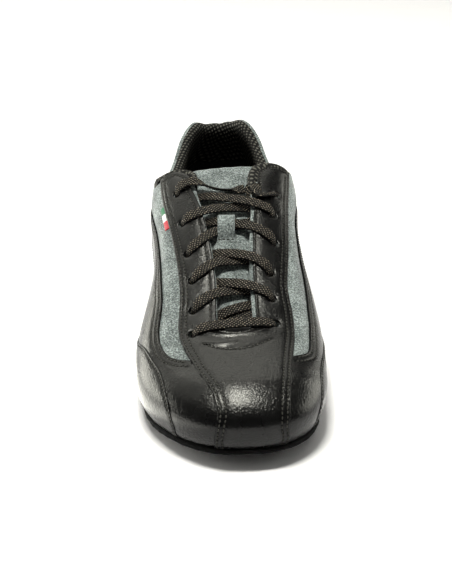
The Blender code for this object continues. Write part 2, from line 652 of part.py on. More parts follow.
def build():
    for old in list(bpy.data.objects):
        bpy.data.objects.remove(old, do_unlink=True)
    group = bpy.data.collections.new("dance_sneaker")
    bpy.context.scene.collection.children.link(group)

    suede = make_material("grey_suede", (0.10, 0.12, 0.13), 0.95)
    leather = make_material("black_leather", (0.012, 0.012, 0.013), 0.4)
    mesh_cloth = make_material("black_mesh", (0.02, 0.02, 0.02), 0.9)
    lace_cord = make_material("black_lace", (0.02, 0.02, 0.018), 0.8)
    sole_black = make_material("black_sole", (0.012, 0.012, 0.012), 0.9)
    heel_black = make_material("black_rubber", (0.02, 0.02, 0.02), 0.7)
    insole_black = make_material("insole_cloth", (0.03, 0.03, 0.03), 0.9)
    tab_weave = make_material("woven_tab", (0.25, 0.25, 0.25), 0.8)

    # Sole, heel and insole
    along = LENGTH / 2 * (1 - np.cos(np.linspace(0, math.pi, 39)))
    slab("outsole", SOLE_MARGIN, along, lambda y: feather_height(y) - GAP, sole_under,
         sole_black, group)
    back = np.concatenate([[HEEL_BREAST], along[along > HEEL_BREAST + 3]])
    slab("heel", SOLE_MARGIN - 0.6, back, lambda y: sole_under(y) - GAP, lambda y: 0.0,
         heel_black, group)
    slab("insole", SHELL_IN - 0.7, along, lambda y: feather_height(y) + INSOLE_WALL - GAP,
         feather_height, insole_black, group)

    # Upper: one shell, open at collar and throat and underneath
    holes = [hole_loop(side, s, angle, HOLE_RADIUS)
             for side in (-1, 1) for s, angle in HOLES[side]]
    throat_in = opening_loop(EDGE_SETBACK)
    centre = {side: seam(CENTRE_SEAM[side], side) for side in (-1, 1)}
    suede_edge = {side: seam(SUEDE_EDGE[side], side) for side in (-1, 1)}
    foxing_edge = {side: seam(FOXING_EDGE[side], side) for side in (-1, 1)}
    nearest = {}
    corner = {}
    tail = {}
    for side in (-1, 1):
        nearest[side] = int(np.argmin(np.hypot(*(throat_in - centre[side][-1]).T)))
        centre[side][-1] = throat_in[nearest[side]]
        corner[side] = int(np.argmin(np.hypot(*(centre[side] - suede_edge[side][0]).T)))
        suede_edge[side][0] = centre[side][corner[side]]
        tail[side] = int(np.argmin(np.hypot(*(foxing_edge[side] - suede_edge[side][-1]).T)))
        suede_edge[side][-1] = foxing_edge[side][tail[side]]
    around = np.vstack([throat_in[nearest[1]::-1], throat_in[:nearest[-1] - 1:-1]])
    toe_edge = {side: feather(side, 0.0, CENTRE_SEAM[side][0][0]) for side in (-1, 1)}
    wing_edge = {side: feather(side, CENTRE_SEAM[side][0][0], FOXING_EDGE[side][0][0])
                 for side in (-1, 1)}
    back_edge = {side: feather(side, FOXING_EDGE[side][0][0], LENGTH) for side in (-1, 1)}
    heel_line = even_line(to_chart(1.0, np.full(60, LENGTH), np.linspace(4.5, -90, 60)))
    around_sole = join_lines([back_edge[-1][::-1], wing_edge[-1][::-1], toe_edge[-1][::-1],
                              toe_edge[1], wing_edge[1], back_edge[1]])
    lines = [around, heel_line]
    for side in (-1, 1):
        lines += [centre[side], suede_edge[side], foxing_edge[side]]
    net = net_of([around_sole, opening_loop()] + holes, lines)
    solid("upper", net, SHELL_IN, SHELL_OUT, suede, group)

    # Black leather on the shell
    eyestay = join_lines([toe_edge[-1][::-1], toe_edge[1], centre[1], around,
                          centre[-1][::-1]])
    solid("vamp_eyestay", cut_net(net, [eyestay]), -LEATHER, 0.0, leather, group, GAP / 2)
    for side, word in ((-1, "lateral"), (1, "medial")):
        wing = join_lines([centre[side][:corner[side]], suede_edge[side],
                           foxing_edge[side][tail[side]::-1], wing_edge[side][::-1]])
        solid("wing_" + word, cut_net(net, [wing]), -LEATHER, 0.0, leather, group, GAP / 2)
        foxing = join_lines([foxing_edge[side], heel_line, back_edge[side][::-1]])
        solid("foxing_" + word, cut_net(net, [foxing]), -LEATHER, 0.0, leather, group, GAP / 2)

    # Padded lining inside the collar
    edge = []
    lower = []
    for side in (-1, 1):
        line = smooth_line(collar_half(side, 0.0)[2:])
        edge.append(line)
        where, s, angle = from_chart(line)
        lower.append(to_chart(where, s, angle - LINING_DEPTH))
    band = join_lines([edge[0], edge[1][::-1][1:], lower[1], lower[0][::-1][1:]])
    solid("collar_lining", net_of([band]), LINING_OUT - LINING_WALL, LINING_OUT, mesh_cloth,
          group, 0.2)

    # Tongue
    left = []
    right = []
    for s, x_left, x_right in TONGUE_EDGE:
        left.append(to_chart(-1.0, s, angle_at_x(-1.0, s, x_left)))
        right.append(to_chart(1.0, s, angle_at_x(1.0, s, x_right)))
    top = [to_chart(-1.0, TONGUE_TOP, angle_at_x(-1.0, TONGUE_TOP, -19.0)),
           to_chart(1.0, TONGUE_TOP + 1.5, 90.0),
           to_chart(1.0, TONGUE_TOP, angle_at_x(1.0, TONGUE_TOP, 24.0))]
    tongue = join_lines([smooth_line(left + top + right[::-1]),
                         smooth_line([right[0], left[0]])])
    solid("tongue", net_of([tongue]), TONGUE_OUT - TONGUE_WALL, TONGUE_OUT, suede, group)

    # Lace: a straight bar, five crossings and two ends
    left = [to_chart(-1.0, *row) for row in HOLES[-1]]
    right = [to_chart(1.0, *row) for row in HOLES[1]]
    flat_run = ((0, GAP), (1, GAP))
    ribbon("lace_bar", [lace_run(left[0], right[0], flat_run)], lace_cord, group)
    deep = TONGUE_OUT + 0.5
    for row in range(1, 6):
        if row == 1:
            near_left = throat_share(left[0], right[1], -1)
            near_right = throat_share(right[0], left[1], 1)
            start_left = left[0] + (right[1] - left[0]) * (near_left + 0.14)
            start_right = right[0] + (left[1] - right[0]) * (near_right + 0.14)
        else:
            start_left = left[row - 1]
            start_right = right[row - 1]
        spare = 0.14 if row == 1 else 0.08
        end_left = throat_share(start_left, right[row], 1) - spare
        end_right = throat_share(start_right, left[row], -1) - spare
        first = TONGUE_OUT + 0.35 if row == 1 else GAP
        under = ((0, first), (0.28, -1.0), (0.5, -1.7), (end_left, deep))
        over = ((0, first), (0.3, -0.2), (0.5, -0.35), (0.62, -0.8), (end_right, deep))
        if row > 1:
            under = ((0, GAP), (0.22, GAP), (0.5, -1.7), (end_left, deep))
            over = ((0, GAP), (0.4, GAP - 0.1), (0.56, -0.4), (end_right, deep))
        ribbon("lace_cross_%d" % row,
               [lace_run(start_left, right[row], under, cut=1 - end_left),
                lace_run(start_right, left[row], over, cut=1 - end_right)], lace_cord, group)
    goal_left = to_chart(1.0, 160.0, angle_at_x(1.0, 160.0, 9.0))
    goal_right = to_chart(1.0, 152.5, angle_at_x(1.0, 152.5, 12.0))
    ribbon("lace_end_lateral", [lace_run(left[5], goal_left, ((0, GAP), (1, GAP)))],
           lace_cord, group)
    ribbon("lace_end_medial", [lace_run(right[5], goal_right, ((0, GAP), (1, GAP)))],
           lace_cord, group)

    # Keeper loop on the tongue, bridging the fourth crossing
    foot = TONGUE_OUT + GAP
    rows = np.array(((109.0, foot), (111.3, foot), (112.8, 2.3), (116.5, 2.6), (120.5, 2.7),
                     (124.5, 2.6), (128.2, 2.3), (129.7, foot), (132.0, foot)))
    side, s, angle = from_chart(np.array([to_chart(1.0, row[0], 90.0) for row in rows]))
    rise = rows[:, 1]
    points = skin(side, s, angle, rise)
    normals = skin(side, s, angle, rise + 1.0) - points
    ribbon("tongue_lace_loop", [(points, normals)], suede, group, width=10.0, thick=1.2)

    # Woven tab on the suede, beside the lateral eyestay seam
    box = []
    for u, v in ((-0.5, -0.5), (0.5, -0.5), (0.5, 0.5), (-0.5, 0.5)):
        along = v * TAB_SIZE[1]
        box.append(to_chart(-1.0, TAB_AT[0] + along,
                            TAB_AT[1] + TAB_SLANT * along + u * TAB_SIZE[0]))
    solid("side_tab", net_of([np.array(box)]), SHELL_OUT + GAP, -0.3, tab_weave, group)


build()
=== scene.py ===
"""Looks of a dance sneaker for the right foot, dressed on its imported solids.

The toe points to -Y, the medial side is +X and the sole stands on z = 0. The panels are
patches of one last function, worked out in millimetres and stored in metres.
"""
import math
from functools import partial, wraps

import bpy
import numpy as np
from bpy.props import FloatProperty, FloatVectorProperty, PointerProperty
from mathutils import Matrix, Vector
from mathutils.geometry import delaunay_2d_cdt
from mathutils.kdtree import KDTree


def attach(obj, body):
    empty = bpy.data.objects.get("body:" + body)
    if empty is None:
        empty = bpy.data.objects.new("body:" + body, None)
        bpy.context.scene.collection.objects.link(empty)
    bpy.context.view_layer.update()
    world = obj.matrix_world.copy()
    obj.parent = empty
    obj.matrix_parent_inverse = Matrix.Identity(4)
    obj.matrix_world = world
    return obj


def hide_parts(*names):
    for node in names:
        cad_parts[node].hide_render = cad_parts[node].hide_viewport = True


bl_info = {
    "name": "Dance sneaker",
    "version": (1, 0, 0),
    "blender": (4, 5, 0),
    "location": "View3D > Sidebar > Sneaker",
    "description": "Dresses the packed solids of a dance sneaker in leather, suede and lace",
    "category": "Add Mesh",
}

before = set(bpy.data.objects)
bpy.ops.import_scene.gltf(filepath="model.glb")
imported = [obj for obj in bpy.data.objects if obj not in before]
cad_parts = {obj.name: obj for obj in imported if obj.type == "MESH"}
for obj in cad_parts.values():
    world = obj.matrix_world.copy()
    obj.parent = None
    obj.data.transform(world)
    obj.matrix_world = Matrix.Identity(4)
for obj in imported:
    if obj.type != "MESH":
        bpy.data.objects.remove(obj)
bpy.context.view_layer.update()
SIDE_WORDS = {-1: "lateral", 1: "medial"}
SIDES = tuple(SIDE_WORDS)

# The last, as in the part's source, in mm. Collar rows are (station s, height), throat and tongue
# rows are (s, left x, right x), and the other edges and the holes are (s, section angle in degrees)
LENGTH = 286.0
CENTRE_X = 3.40
CENTRE_Y = 142.64
TOE_ROUND = 48.0
TOE_POWER = 2.35
HEEL_ROUND = 36.0
HEEL_POWER = 2.1
TOE_POLE = 26.0
TOE_FAN = 75.0
HEEL_POLE = 250.0
HEEL_FAN = 205.0
UNDER_TURN = 60.0
LAST_COLUMNS = ("s", "axis_x", "lateral", "medial", "feather_z", "widest_up", "tuck",
                "ridge_z", "power")
LAST = (
    (0.0, 6.0, 37.0, 45.6, 10.8, 10.0, 2.3, 33.0, 2.3),
    (30.0, 6.0, 47.0, 45.0, 7.4, 13.0, 3.8, 37.5, 2.3),
    (60.0, 4.5, 50.4, 48.0, 5.2, 15.0, 4.8, 43.5, 2.4),
    (90.0, 3.0, 46.8, 49.0, 4.6, 18.0, 4.8, 56.5, 2.6),
    (120.0, 2.0, 41.6, 45.6, 5.6, 25.0, 5.8, 72.0, 2.9),
    (150.0, 1.0, 41.8, 43.9, 8.2, 35.0, 8.0, 87.0, 3.3),
    (180.0, 0.5, 43.8, 45.7, 11.8, 41.0, 8.0, 98.0, 3.7),
    (215.0, 0.0, 39.3, 41.0, 15.0, 30.0, 4.5, 108.0, 2.7),
    (250.0, 0.0, 34.0, 34.0, 16.5, 24.0, 1.8, 114.0, 2.1),
    (286.0, 0.0, 34.0, 33.5, 17.0, 24.0, 2.0, 116.0, 2.1),
)
COLLAR = {
    -1: ((214.0, 66.0), (230.0, 68.5), (245.0, 75.0), (258.0, 83.0), (266.0, 87.4),
         (272.0, 89.7), (276.5, 90.1), (280.5, 88.4), (283.8, 86.6), (286.0, 86.2)),
    1: ((214.0, 66.0), (230.0, 68.5), (245.0, 75.0), (258.0, 83.2), (266.0, 87.9),
        (272.0, 90.3), (277.0, 91.3), (281.0, 90.8), (284.0, 88.6), (286.0, 86.2)),
}
TAB = {-1: ((160.5, 69.0), (165.4, 57.0), (168.5, 43.0)),
       1: ((164.5, 68.5), (171.0, 57.0), (174.5, 43.0))}
LEATHER_TAB = {-1: ((149.2, 65.4), (153.6, 65.9), (157.5, 65.1), (159.7, 63.1), (162.5, 59.5),
                    (164.2, 55.5), (165.0, 51.0), (165.0, 47.7), (165.3, 43.9), (166.6, 39.4)),
               1: ((148.8, 65.0), (154.0, 65.3), (159.2, 64.8), (162.1, 63.5), (164.2, 61.4),
                   (166.1, 58.8), (167.9, 55.4), (168.9, 52.6), (169.7, 49.6), (170.3, 46.4),
                   (170.4, 42.9), (169.6, 39.6))}
COLLAR_FRONT = {-1: ((177.0, 80.0), (187.0, 73.0), (199.0, 68.0)),
                1: ((182.0, 82.5), (191.0, 75.0), (201.0, 69.0))}
THROAT = ((68.0, -3.4, 15.0), (88.0, -3.7, 14.4), (110.0, -6.3, 14.8), (133.0, -11.2, 16.4),
          (152.0, -15.8, 16.9))
THROAT_END = 55.5
THROAT_MIDDLE = 0.5 * (THROAT[0][1] + THROAT[0][2])
CENTRE_SEAM = {
    -1: ((1.5, -90), (1.4, -60), (1.2, -10), (1.1, 24.6), (1.5, 39.4), (2.7, 48.8), (4.9, 56.4),
         (8.1, 59.8), (13.5, 62.4), (19.5, 63.2), (25.5, 63.2), (35.7, 62.8), (44.2, 61.1),
         (52.8, 59.4), (60.4, 58.6), (67.1, 59), (76, 59.4), (85.8, 59), (98.5, 56.4),
         (112.4, 52.2), (127.3, 47.5), (143.2, 43.3), (155, 42.2), (164.4, 43), (168.2, 42.7)),
    1: ((5.6, -90), (5.3, -50), (4.8, -10), (4.7, 6), (5.9, 25.4), (8.4, 37.7), (14.1, 47.5),
        (21.7, 51.8), (31.6, 53.9), (40.4, 53.9), (48.1, 53), (57.2, 51.8), (64.9, 51.8),
        (72.8, 52.2), (78.8, 53), (86, 53.9), (90.2, 53.8), (98.1, 52.2), (106.4, 50.1),
        (116.8, 47.5), (127.9, 45), (141.6, 42.4), (155, 41.1), (165, 41), (174.3, 41.5)),
}
SUEDE_EDGE = {
    -1: ((34.9, 62.7), (37.6, 56.5), (40.8, 52.5), (44.2, 50), (48.7, 47.9), (52.8, 46.7),
         (58.2, 45.5), (64.9, 45.1), (71.5, 45.7), (78, 46.2), (84.2, 46), (91.2, 44.6),
         (98.5, 42.4), (106.4, 39.9), (114.6, 36.8), (123.8, 33.2), (137.7, 28.6),
         (149.2, 24), (161.2, 17.4), (180, 10), (205, 3), (222, -8)),
    1: ((41, 53.7), (43.3, 49.4), (46.5, 44), (50.3, 40.7), (56.6, 39), (63, 38.6),
        (72.5, 37.8), (87, 37.6), (101.3, 35.9), (114.6, 34.9), (123.2, 33), (133, 29.7),
        (148.4, 26.1), (175, 14), (205, 3), (222, -8)),
}
FOXING_BACK = ((110, -4), (150, -12), (190, -13), (222, -9), (242, -3), (258, 1), (270, 3), (279, 4),
               (284, 4.5), (285.6, 4.5), (286, 4.5))
FOXING_EDGE = {
    -1: ((12.2, -90), (12.1, -70), (11.7, -34), (12.2, -12.8), (12.9, 6.3), (14.4, 18.2),
         (16.4, 25), (18.3, 29.3), (21.1, 33.4), (24.9, 37.4), (28.7, 39.8), (32.5, 40.9),
         (36.3, 41), (41.7, 39.9), (46.2, 38.2), (50.6, 36.3), (55, 34), (59.1, 31),
         (63.6, 26.3), (67.5, 21.4), (76, 14.5), (87, 7.5)) + FOXING_BACK,
    1: ((18.6, -90), (18.6, -60), (18.8, -29.8), (19.4, -11.1), (20.6, -1.2), (21.9, 8.4),
        (24.6, 15.8), (27.8, 21.4), (32.4, 25.7), (37.9, 27.8), (45.2, 27), (53, 23.6),
        (61.9, 18.3), (73, 12.5), (87, 6.5)) + FOXING_BACK,
}
HOLES = {-1: ((56.1, 66.8), (71.8, 67.5), (89.9, 66.5), (106.9, 62.2), (127.1, 57.2),
              (147.6, 54.6)),
         1: ((63.7, 63.6), (79.1, 64.7), (94.4, 64.1), (114.2, 58.3), (132.3, 56.1),
             (148.0, 51.8))}
TONGUE_EDGE = ((42.0, -8.0, 16.0), (60.0, -16.0, 24.0), (100.0, -20.0, 27.0),
               (140.0, -24.0, 30.0), (164.0, -26.0, 31.0))
TONGUE_TOP = 169.0
SOLE_MARGIN = 1.0
SOLE_WALL = 4.6
SOLE_TOE = 2.8
SOLE_GAP = 0.3
INSOLE_WALL = 4.2
HEEL_BREAST = 204.0
SOLE_SEAT = 0.05           # gap of sole and insole to the feather line, and of heel to sole
SOLE_THIN_TO = 15.0        # station up to which the sole is thin
SOLE_THIN_REACH = 60.0
END_RUN = 14.0             # stations crowd within this of the toe and the heel
INSOLE_DISH = 0.6
INSOLE_CUP = 0.9
INSOLE_CUP_FROM = 6.0
INSOLE_CUP_REACH = 12.0
# Herringbone tread
TREAD_DEPTH = 0.7
TREAD_PITCH = 6.5
TREAD_ZIGZAG = 16
TREAD_SLANT = 0.45
TREAD_HALF = 0.22          # half width of a groove and run of its wall, in pitches
TREAD_WALL = 0.12
TREAD_CLEAR = 3.0          # from the rim of the sole
# Side profiles: (share from top to bottom, change of margin)
OUTSOLE_SIDE = ((0.0, -0.7), (0.1, -0.1), (0.3, 0.12), (0.55, 0.15), (0.8, 0.0), (0.93, -0.25),
                (1.0, -0.9))
HEEL_SIDE = ((0.0, -0.3), (0.06, 0.0), (0.5, 0.12), (0.9, 0.0), (0.97, -0.25), (1.0, -0.8))
INSOLE_SIDE = ((0.0, -0.8), (0.15, -0.15), (0.5, 0.0), (1.0, 0.0))

# Heights above the skin of the last, and set-backs along it, in mm
SUEDE_TOP = -1.25
SHELL_IN = -4.15
LEATHER_SETBACK = {-1: 0.4, 1: 1.8}      # from the throat edge back to the leather's edge
LEATHER_END_SETBACK = 0.3                # the same at the toe end of the throat
EYESTAY_STITCH = {-1: 3.2, 1: 1.5}       # from the leather's edge at the throat to its stitch row
TONGUE_TOP_OFFSET = -4.7
TONGUE_UNDER_OFFSET = -6.4
TONGUE_WALL = 2.6
TONGUE_SHADE_CLOTH_TO = 67.0                 # chart y; up to here the toe end of the tongue is black lining cloth, as painted shade
TONGUE_TUCK = 1.5                        # the tongue starts to rise this far under the edge
TONGUE_RISE_REACH = 6.0
PUFF_REACH = 5.0                         # the suede swells fully this far from a panel
PUFF_RIM_REACH = 22.0                    # and this far from the opening

# Relief of the leather: swell over the piece beneath, sink under the piece above, dip at holes
EYESTAY_SWELL = 0.35
FOXING_SWELL = 0.3
SWELL_REACH = 7.0
WING_SINK = 0.15
WING_SINK_REACH = 4.0
HOLE_DROP = 0.7
HOLE_DIP = 0.3
HOLE_DIP_REACH = 2.2
CREASE_LIP = 0.6           # raised lip of a crease, as a share of its depth
CREASE_LIP_AT = 2.1        # its place, in half widths

# Stitch rows: distances from the cut edge, and the pull-down of the leather along them
EYESTAY_ROWS = (1.5, 3.9)
WING_ROWS = (1.6, 4.4)
FOXING_ROW = 1.4
ROW_KEEP = 0.85            # a row stops where a cut edge is closer than this share of its distance
WING_ROW_KEEP = 0.8
THROAT_ROW_KEEP = 1.2      # the same for the row round the throat, in mm
THROAT_TURN = 6.0          # chart x over which that row goes from one distance to the other
STITCH_DEPTH = 0.24
STITCH_HALF = 0.6
STITCH_STAND = 0.16        # height of a stitch's axis above the leather
STITCH_SIDES = 6
# One stitch: (place along it, thickness, height), in shares of its length and width
STITCH_RINGS = ((-0.5, 0.45, -0.75), (-0.34, 0.9, -0.12), (0.0, 1.0, 0.1), (0.34, 0.9, -0.12),
                (0.5, 0.45, -0.75))
SEAM_MARK = "seam"         # how close a point of the leather lies to a stitch row or a cut edge
SEAM_REACH = 0.9

# Steps of lines and nets in the chart, and net rows beside edges, stitches, folds and holes
LINE_STEP = 1.5
FEATHER_POINTS = 600
DOUBLED = 0.4              # points closer than this are one
RIM_CLEAR = 0.12
LEAST_AREA = 1e-4
EDGE_NET_ROWS = (0.14, 0.38, 0.75)
STITCH_NET_ROWS = (-0.55, 0.0, 0.55)
FOLD_NET_ROWS = (-1.4, -0.7, 0, 0.7, 1.4)
HOLE_NET_ROWS = (0.3, 0.8, 1.6)
SUEDE_NET_ROWS = (0.4, 1.2, 2.4)
RIM_NET_ROWS = (0.15, 0.45, 1.0, 1.8)
TONGUE_NET_ROWS = (0.2, 0.6, 1.3)

# Camera found from the photograph: mm and radians
CAMERA_AT = (-6.55, -475.78, 260.88)
CAMERA_YAW = 0.011
CAMERA_PITCH = math.radians(26.72)
CAMERA_ROLL = -0.006
FOCAL_PIXELS = 889.24
PICTURE_HEIGHT = 584
SENSOR = 36.0

LACE_RING = 16             # points round the lace
LACE_POWERS = (0.55, 0.75)  # squareness of its cross-section, across and upward
LACE_PINCH = 0.58          # share of its width that is left at a hole
LACE_BUNCH = 1.25          # how much thicker it is there
LACE_PINCH_REACH = 5.5
# Lace: each row is (chart x, chart y, height above the skin), from the hole to the tuck
LACE_BAR = ((-8.2, 57.2, -4.9), (-8.0, 57.0, -1.6), (-6.4, 58.3, 0.75), (-3.6, 59.9, 0.95),
            (4.2, 61.2, 0.75), (12.6, 62.6, 0.95), (16.0, 63.1, 0.8), (18.0, 63.9, -1.4),
            (18.3, 64.1, -4.9))
LACE_STRANDS = {
    1: {-1: ((-8.2, 57.4, -5.0), (-5.0, 63.0, -5.3), (-2.8, 67.6, -5.1), (0.4, 70.1, -3.3),
             (4.0, 71.9, -1.9), (7.6, 73.9, -2.1), (10.9, 76.3, -3.7), (13.6, 78.0, -5.2),
             (17.3, 79.1, -5.2)),
        1: ((18.3, 64.3, -5.0), (15.4, 67.2, -5.2), (12.6, 69.3, -4.2), (9.2, 69.8, -3.4),
            (5.2, 69.4, -3.5), (1.6, 69.2, -4.6), (-1.8, 69.9, -5.8), (-5.0, 71.2, -5.9),
            (-8.3, 71.9, -5.4))},
    2: {-1: ((-8.6, 71.4, -4.9), (-8.3, 71.8, -1.5), (-7.1, 74.2, 0.75), (-4.4, 77.9, 0.95),
             (-0.6, 81.6, -0.7), (5.6, 83.5, -1.9), (9.6, 84.4, -3.3), (12.8, 86.0, -5.1),
             (16.8, 93.8, -5.2)),
        1: ((17.8, 78.5, -4.9), (17.4, 79.1, -1.5), (16.2, 80.9, 0.75), (14.0, 82.7, 0.95),
            (9.9, 85.1, 0.6), (4.4, 86.7, -0.1), (0.2, 88.6, -2.4), (-2.9, 90.0, -4.8),
            (-5.6, 90.4, -5.3), (-8.9, 90.0, -5.2))},
    3: {-1: ((-9.6, 89.3, -4.9), (-9.2, 89.9, -1.5), (-7.6, 92.2, 0.75), (-4.7, 95.9, 0.95),
             (-0.6, 100.1, -0.7), (5.4, 101.3, -1.9), (9.6, 102.6, -3.3), (12.6, 104.4, -5.1),
             (17.8, 113.6, -5.2)),
        1: ((17.2, 94.0, -4.9), (16.9, 94.6, -1.5), (15.8, 97.4, 0.75), (13.7, 100.1, 0.95),
            (10.0, 102.8, 0.6), (4.5, 104.5, -0.1), (-0.8, 106.2, -2.4), (-4.0, 107.2, -4.8),
            (-6.6, 107.4, -5.3), (-10.4, 107.0, -5.2))},
    4: {-1: ((-11.2, 106.4, -4.9), (-10.8, 107.0, -1.5), (-9.3, 109.3, 0.75),
             (-6.8, 112.8, 0.95), (-3.0, 118.0, -0.9), (-0.4, 120.5, -2.2), (3.0, 122.8, -3.0),
             (7.2, 125.2, -3.4), (11.6, 128.4, -5.0), (17.8, 132.2, -5.2)),
        1: ((18.9, 113.6, -4.9), (18.4, 114.2, -1.5), (17.3, 116.3, 0.75), (15.3, 118.5, 0.95),
            (11.4, 121.4, 0.4), (5.2, 124.0, -0.9), (1.8, 125.0, -1.2), (-2.0, 126.2, -2.6),
            (-6.2, 127.4, -4.9), (-8.6, 127.6, -5.3), (-12.2, 127.3, -5.2))},
    5: {-1: ((-13.4, 126.6, -4.9), (-12.9, 127.1, -1.5), (-11.6, 128.3, 0.75),
             (-9.0, 130.0, 0.95), (-2.3, 132.7, 0.1), (4.6, 134.2, -0.9), (9.6, 135.4, -2.8),
             (13.4, 138.0, -5.0), (19.0, 147.0, -5.2)),
        1: ((18.9, 131.8, -4.9), (18.4, 132.3, -1.5), (17.2, 134.0, 0.75), (14.9, 135.4, 0.95),
            (10.1, 137.2, 0.9), (1.8, 139.6, 0.5), (-4.4, 142.0, -0.9), (-8.8, 143.9, -3.9),
            (-11.6, 145.4, -5.2), (-14.6, 147.2, -5.2))},
}
LACE_ENDS = {
    -1: ((-15.4, 146.9, -4.9), (-15.1, 147.7, -1.5), (-14.5, 149.4, 0.9), (-13.6, 150.6, 1.5),
         (-12.2, 151.4, 1.9), (-10.6, 151.5, 2.1), (-8.8, 151.0, 2.0), (-7.2, 149.9, 1.5),
         (-5.5, 148.8, 0.6), (-3.4, 147.9, -0.4), (-0.9, 147.2, -1.3), (1.6, 147.4, -2.0),
         (4.2, 147.8, -2.5), (6.0, 147.9, -2.6), (7.4, 148.2, -2.6), (8.7, 149.0, -2.7)),
    1: ((20.1, 147.4, -4.9), (19.9, 148.0, -1.5), (19.2, 147.8, 0.2), (18.1, 146.4, 0.4),
        (15.6, 143.9, 0.7), (13.8, 142.6, 1.2), (12.8, 143.9, 1.4), (12.3, 146.6, 0.9),
        (11.9, 149.6, -0.4), (11.2, 151.6, -2.0), (10.5, 150.4, -3.4), (10.4, 146.8, -3.8),
        (10.6, 143.2, -3.8), (11.0, 140.6, -3.9)),
}
# How far an end turns on its edge along its length: (share, turn in degrees)
LACE_END_TURN = {-1: ((0, 0), (0.4, 0), (0.54, -48), (0.84, -48), (0.92, 0), (1, 15)),
                 1: ((0, 0), (0.1, 30), (0.27, 46), (0.4, 10), (0.5, 0), (0.68, 0),
                     (0.78, 55), (1, 60))}

# Keeper loop of the tongue: (s, height, width), from the tongue over the laces and down
KEEPER = ((120.5, -3.9, 9.0), (124.6, -3.6, 9.2), (126.9, -2.0, 9.4), (127.5, 0.2, 9.5),
          (126.4, 1.75, 9.5), (123.6, 2.0, 9.5), (120.6, 1.4, 9.5), (118.2, -0.4, 9.5),
          (116.7, -2.3, 9.6), (115.4, -3.5, 9.8), (113.0, -3.9, 11.4), (110.0, -4.0, 13.6),
          (106.6, -4.1, 15.0))
KEEPER_MIDDLE = 2.1        # chart x of the loop's middle line
KEEPER_THICK = 1.2
KEEPER_STITCH = ((KEEPER_MIDDLE - 3.1, 115.0), (KEEPER_MIDDLE + 3.1, 115.2))
KEEPER_STITCH_HEIGHT = -2.95
# Its cross-section, in shares of width and thickness
KEEPER_RING = ((-0.5, 0.0), (-0.5, 0.32), (-0.46, 0.5), (-0.25, 0.52), (0.0, 0.52), (0.25, 0.52),
               (0.46, 0.5), (0.5, 0.32), (0.5, 0.0), (0.46, -0.5), (0.0, -0.5), (-0.46, -0.5))

# Side tab: from and to along the lateral seam, and how far it stands out from it
TAB_FROM = 128.8
TAB_TO = 147.2
TAB_OUT = 3.4
# Its cross-section: (distance from the seam, height above the skin)
TAB_PROFILE = ((-0.6, -0.95), (0.3, -0.55), (1.2, -0.1), (TAB_OUT - 0.5, 0.0), (TAB_OUT, -0.3),
               (TAB_OUT - 0.2, -0.75), (1.2, -1.0), (-0.5, -1.15))

# Creases placed one by one: chart points, depth and half width in mm
CREASES = (
    (((-21.6, 37.6), (-15.6, 34.0), (-8.8, 31.6)), 0.13, 1.9),
    (((-21.0, 32.6), (-14.4, 29.2), (-8.2, 27.6)), 0.11, 1.8),
    (((20.6, 33.0), (26.2, 32.6), (33.6, 35.8)), 0.06, 2.0),
    (((13.1, 141.6), (15.8, 144.0), (18.2, 146.4), (19.6, 148.0)), 1.0, 0.8),
)
# Ridges: the rolled edge and the fold at the toe end of the throat
RIDGES = (
    (((-4.8, 58.6), (-3.2, 56.6), (-0.5, 55.0), (3.6, 54.4), (7.8, 55.0), (11.8, 56.4),
      (15.0, 59.0)), 0.45, 0.6),
    (((-4.8, 49.7), (-2.6, 48.5), (0.3, 47.9), (3.4, 48.2), (6.2, 49.8)), 0.5, 0.65),
)
# Break across the vamp, where the flat top bends down over the toe: a low sharp ridge
TOE_BREAK = ((-12.1, 29.1), (-5.4, 25.6), (-0.8, 23.4), (3.8, 22.1), (8.1, 22.2), (14.4, 24.0),
             (21.5, 27.1), (26.1, 28.0))
TOE_BREAK_RISE = 0.6
TOE_BREAK_REACH = 6.0
TOE_BREAK_ROUND = 1.1
CRESCENT_STITCH = ((-4.8, 49.7), (-2.5, 47.0), (0.3, 45.2), (2.8, 44.2), (5.3, 44.0), (8.4, 45.0),
                   (11.2, 46.8), (14.1, 49.6), (16.6, 52.5))


def linear(code):
    """Linear colour of an sRGB hex value."""
    values = [int(code[i:i + 2], 16) / 255 for i in (1, 3, 5)]
    return tuple(v / 12.92 if v <= 0.04045 else ((v + 0.055) / 1.055) ** 2.4 for v in values)


def length(name, description, default):
    """Property for a size in metres."""
    return FloatProperty(name=name, description=description, default=default, unit="LENGTH",
                         precision=5)


def tint(name, description, code):
    """Property for a colour, from its sRGB hex value."""
    return FloatVectorProperty(name=name, description=description, subtype="COLOR",
                               default=linear(code))


class SneakerSizes(bpy.types.PropertyGroup):
    """Sizes that a user would change."""
    leather: length("Leather", "Thickness of the leather panels", 0.0012)
    edge_round: length("Edge round", "Radius on the cut edges of the leather", 0.0008)
    suede_puff: length("Suede puff", "How far the suede swells between the panels", 0.0011)
    stitch_pitch: length("Stitch pitch", "Distance from stitch to stitch", 0.0022)
    stitch_length: length("Stitch length", "Visible length of one stitch", 0.0016)
    stitch_width: length("Stitch width", "Width of the sewing thread", 0.00075)
    lace_width: length("Lace width", "Width of the flat lace", 0.0062)
    lace_thick: length("Lace thickness", "Thickness of the flat lace", 0.0016)
    hole_radius: length("Lace hole", "Radius of the punched lace holes", 0.0022)
    net_step: length("Net step", "Grid step of the panels", 0.0015)


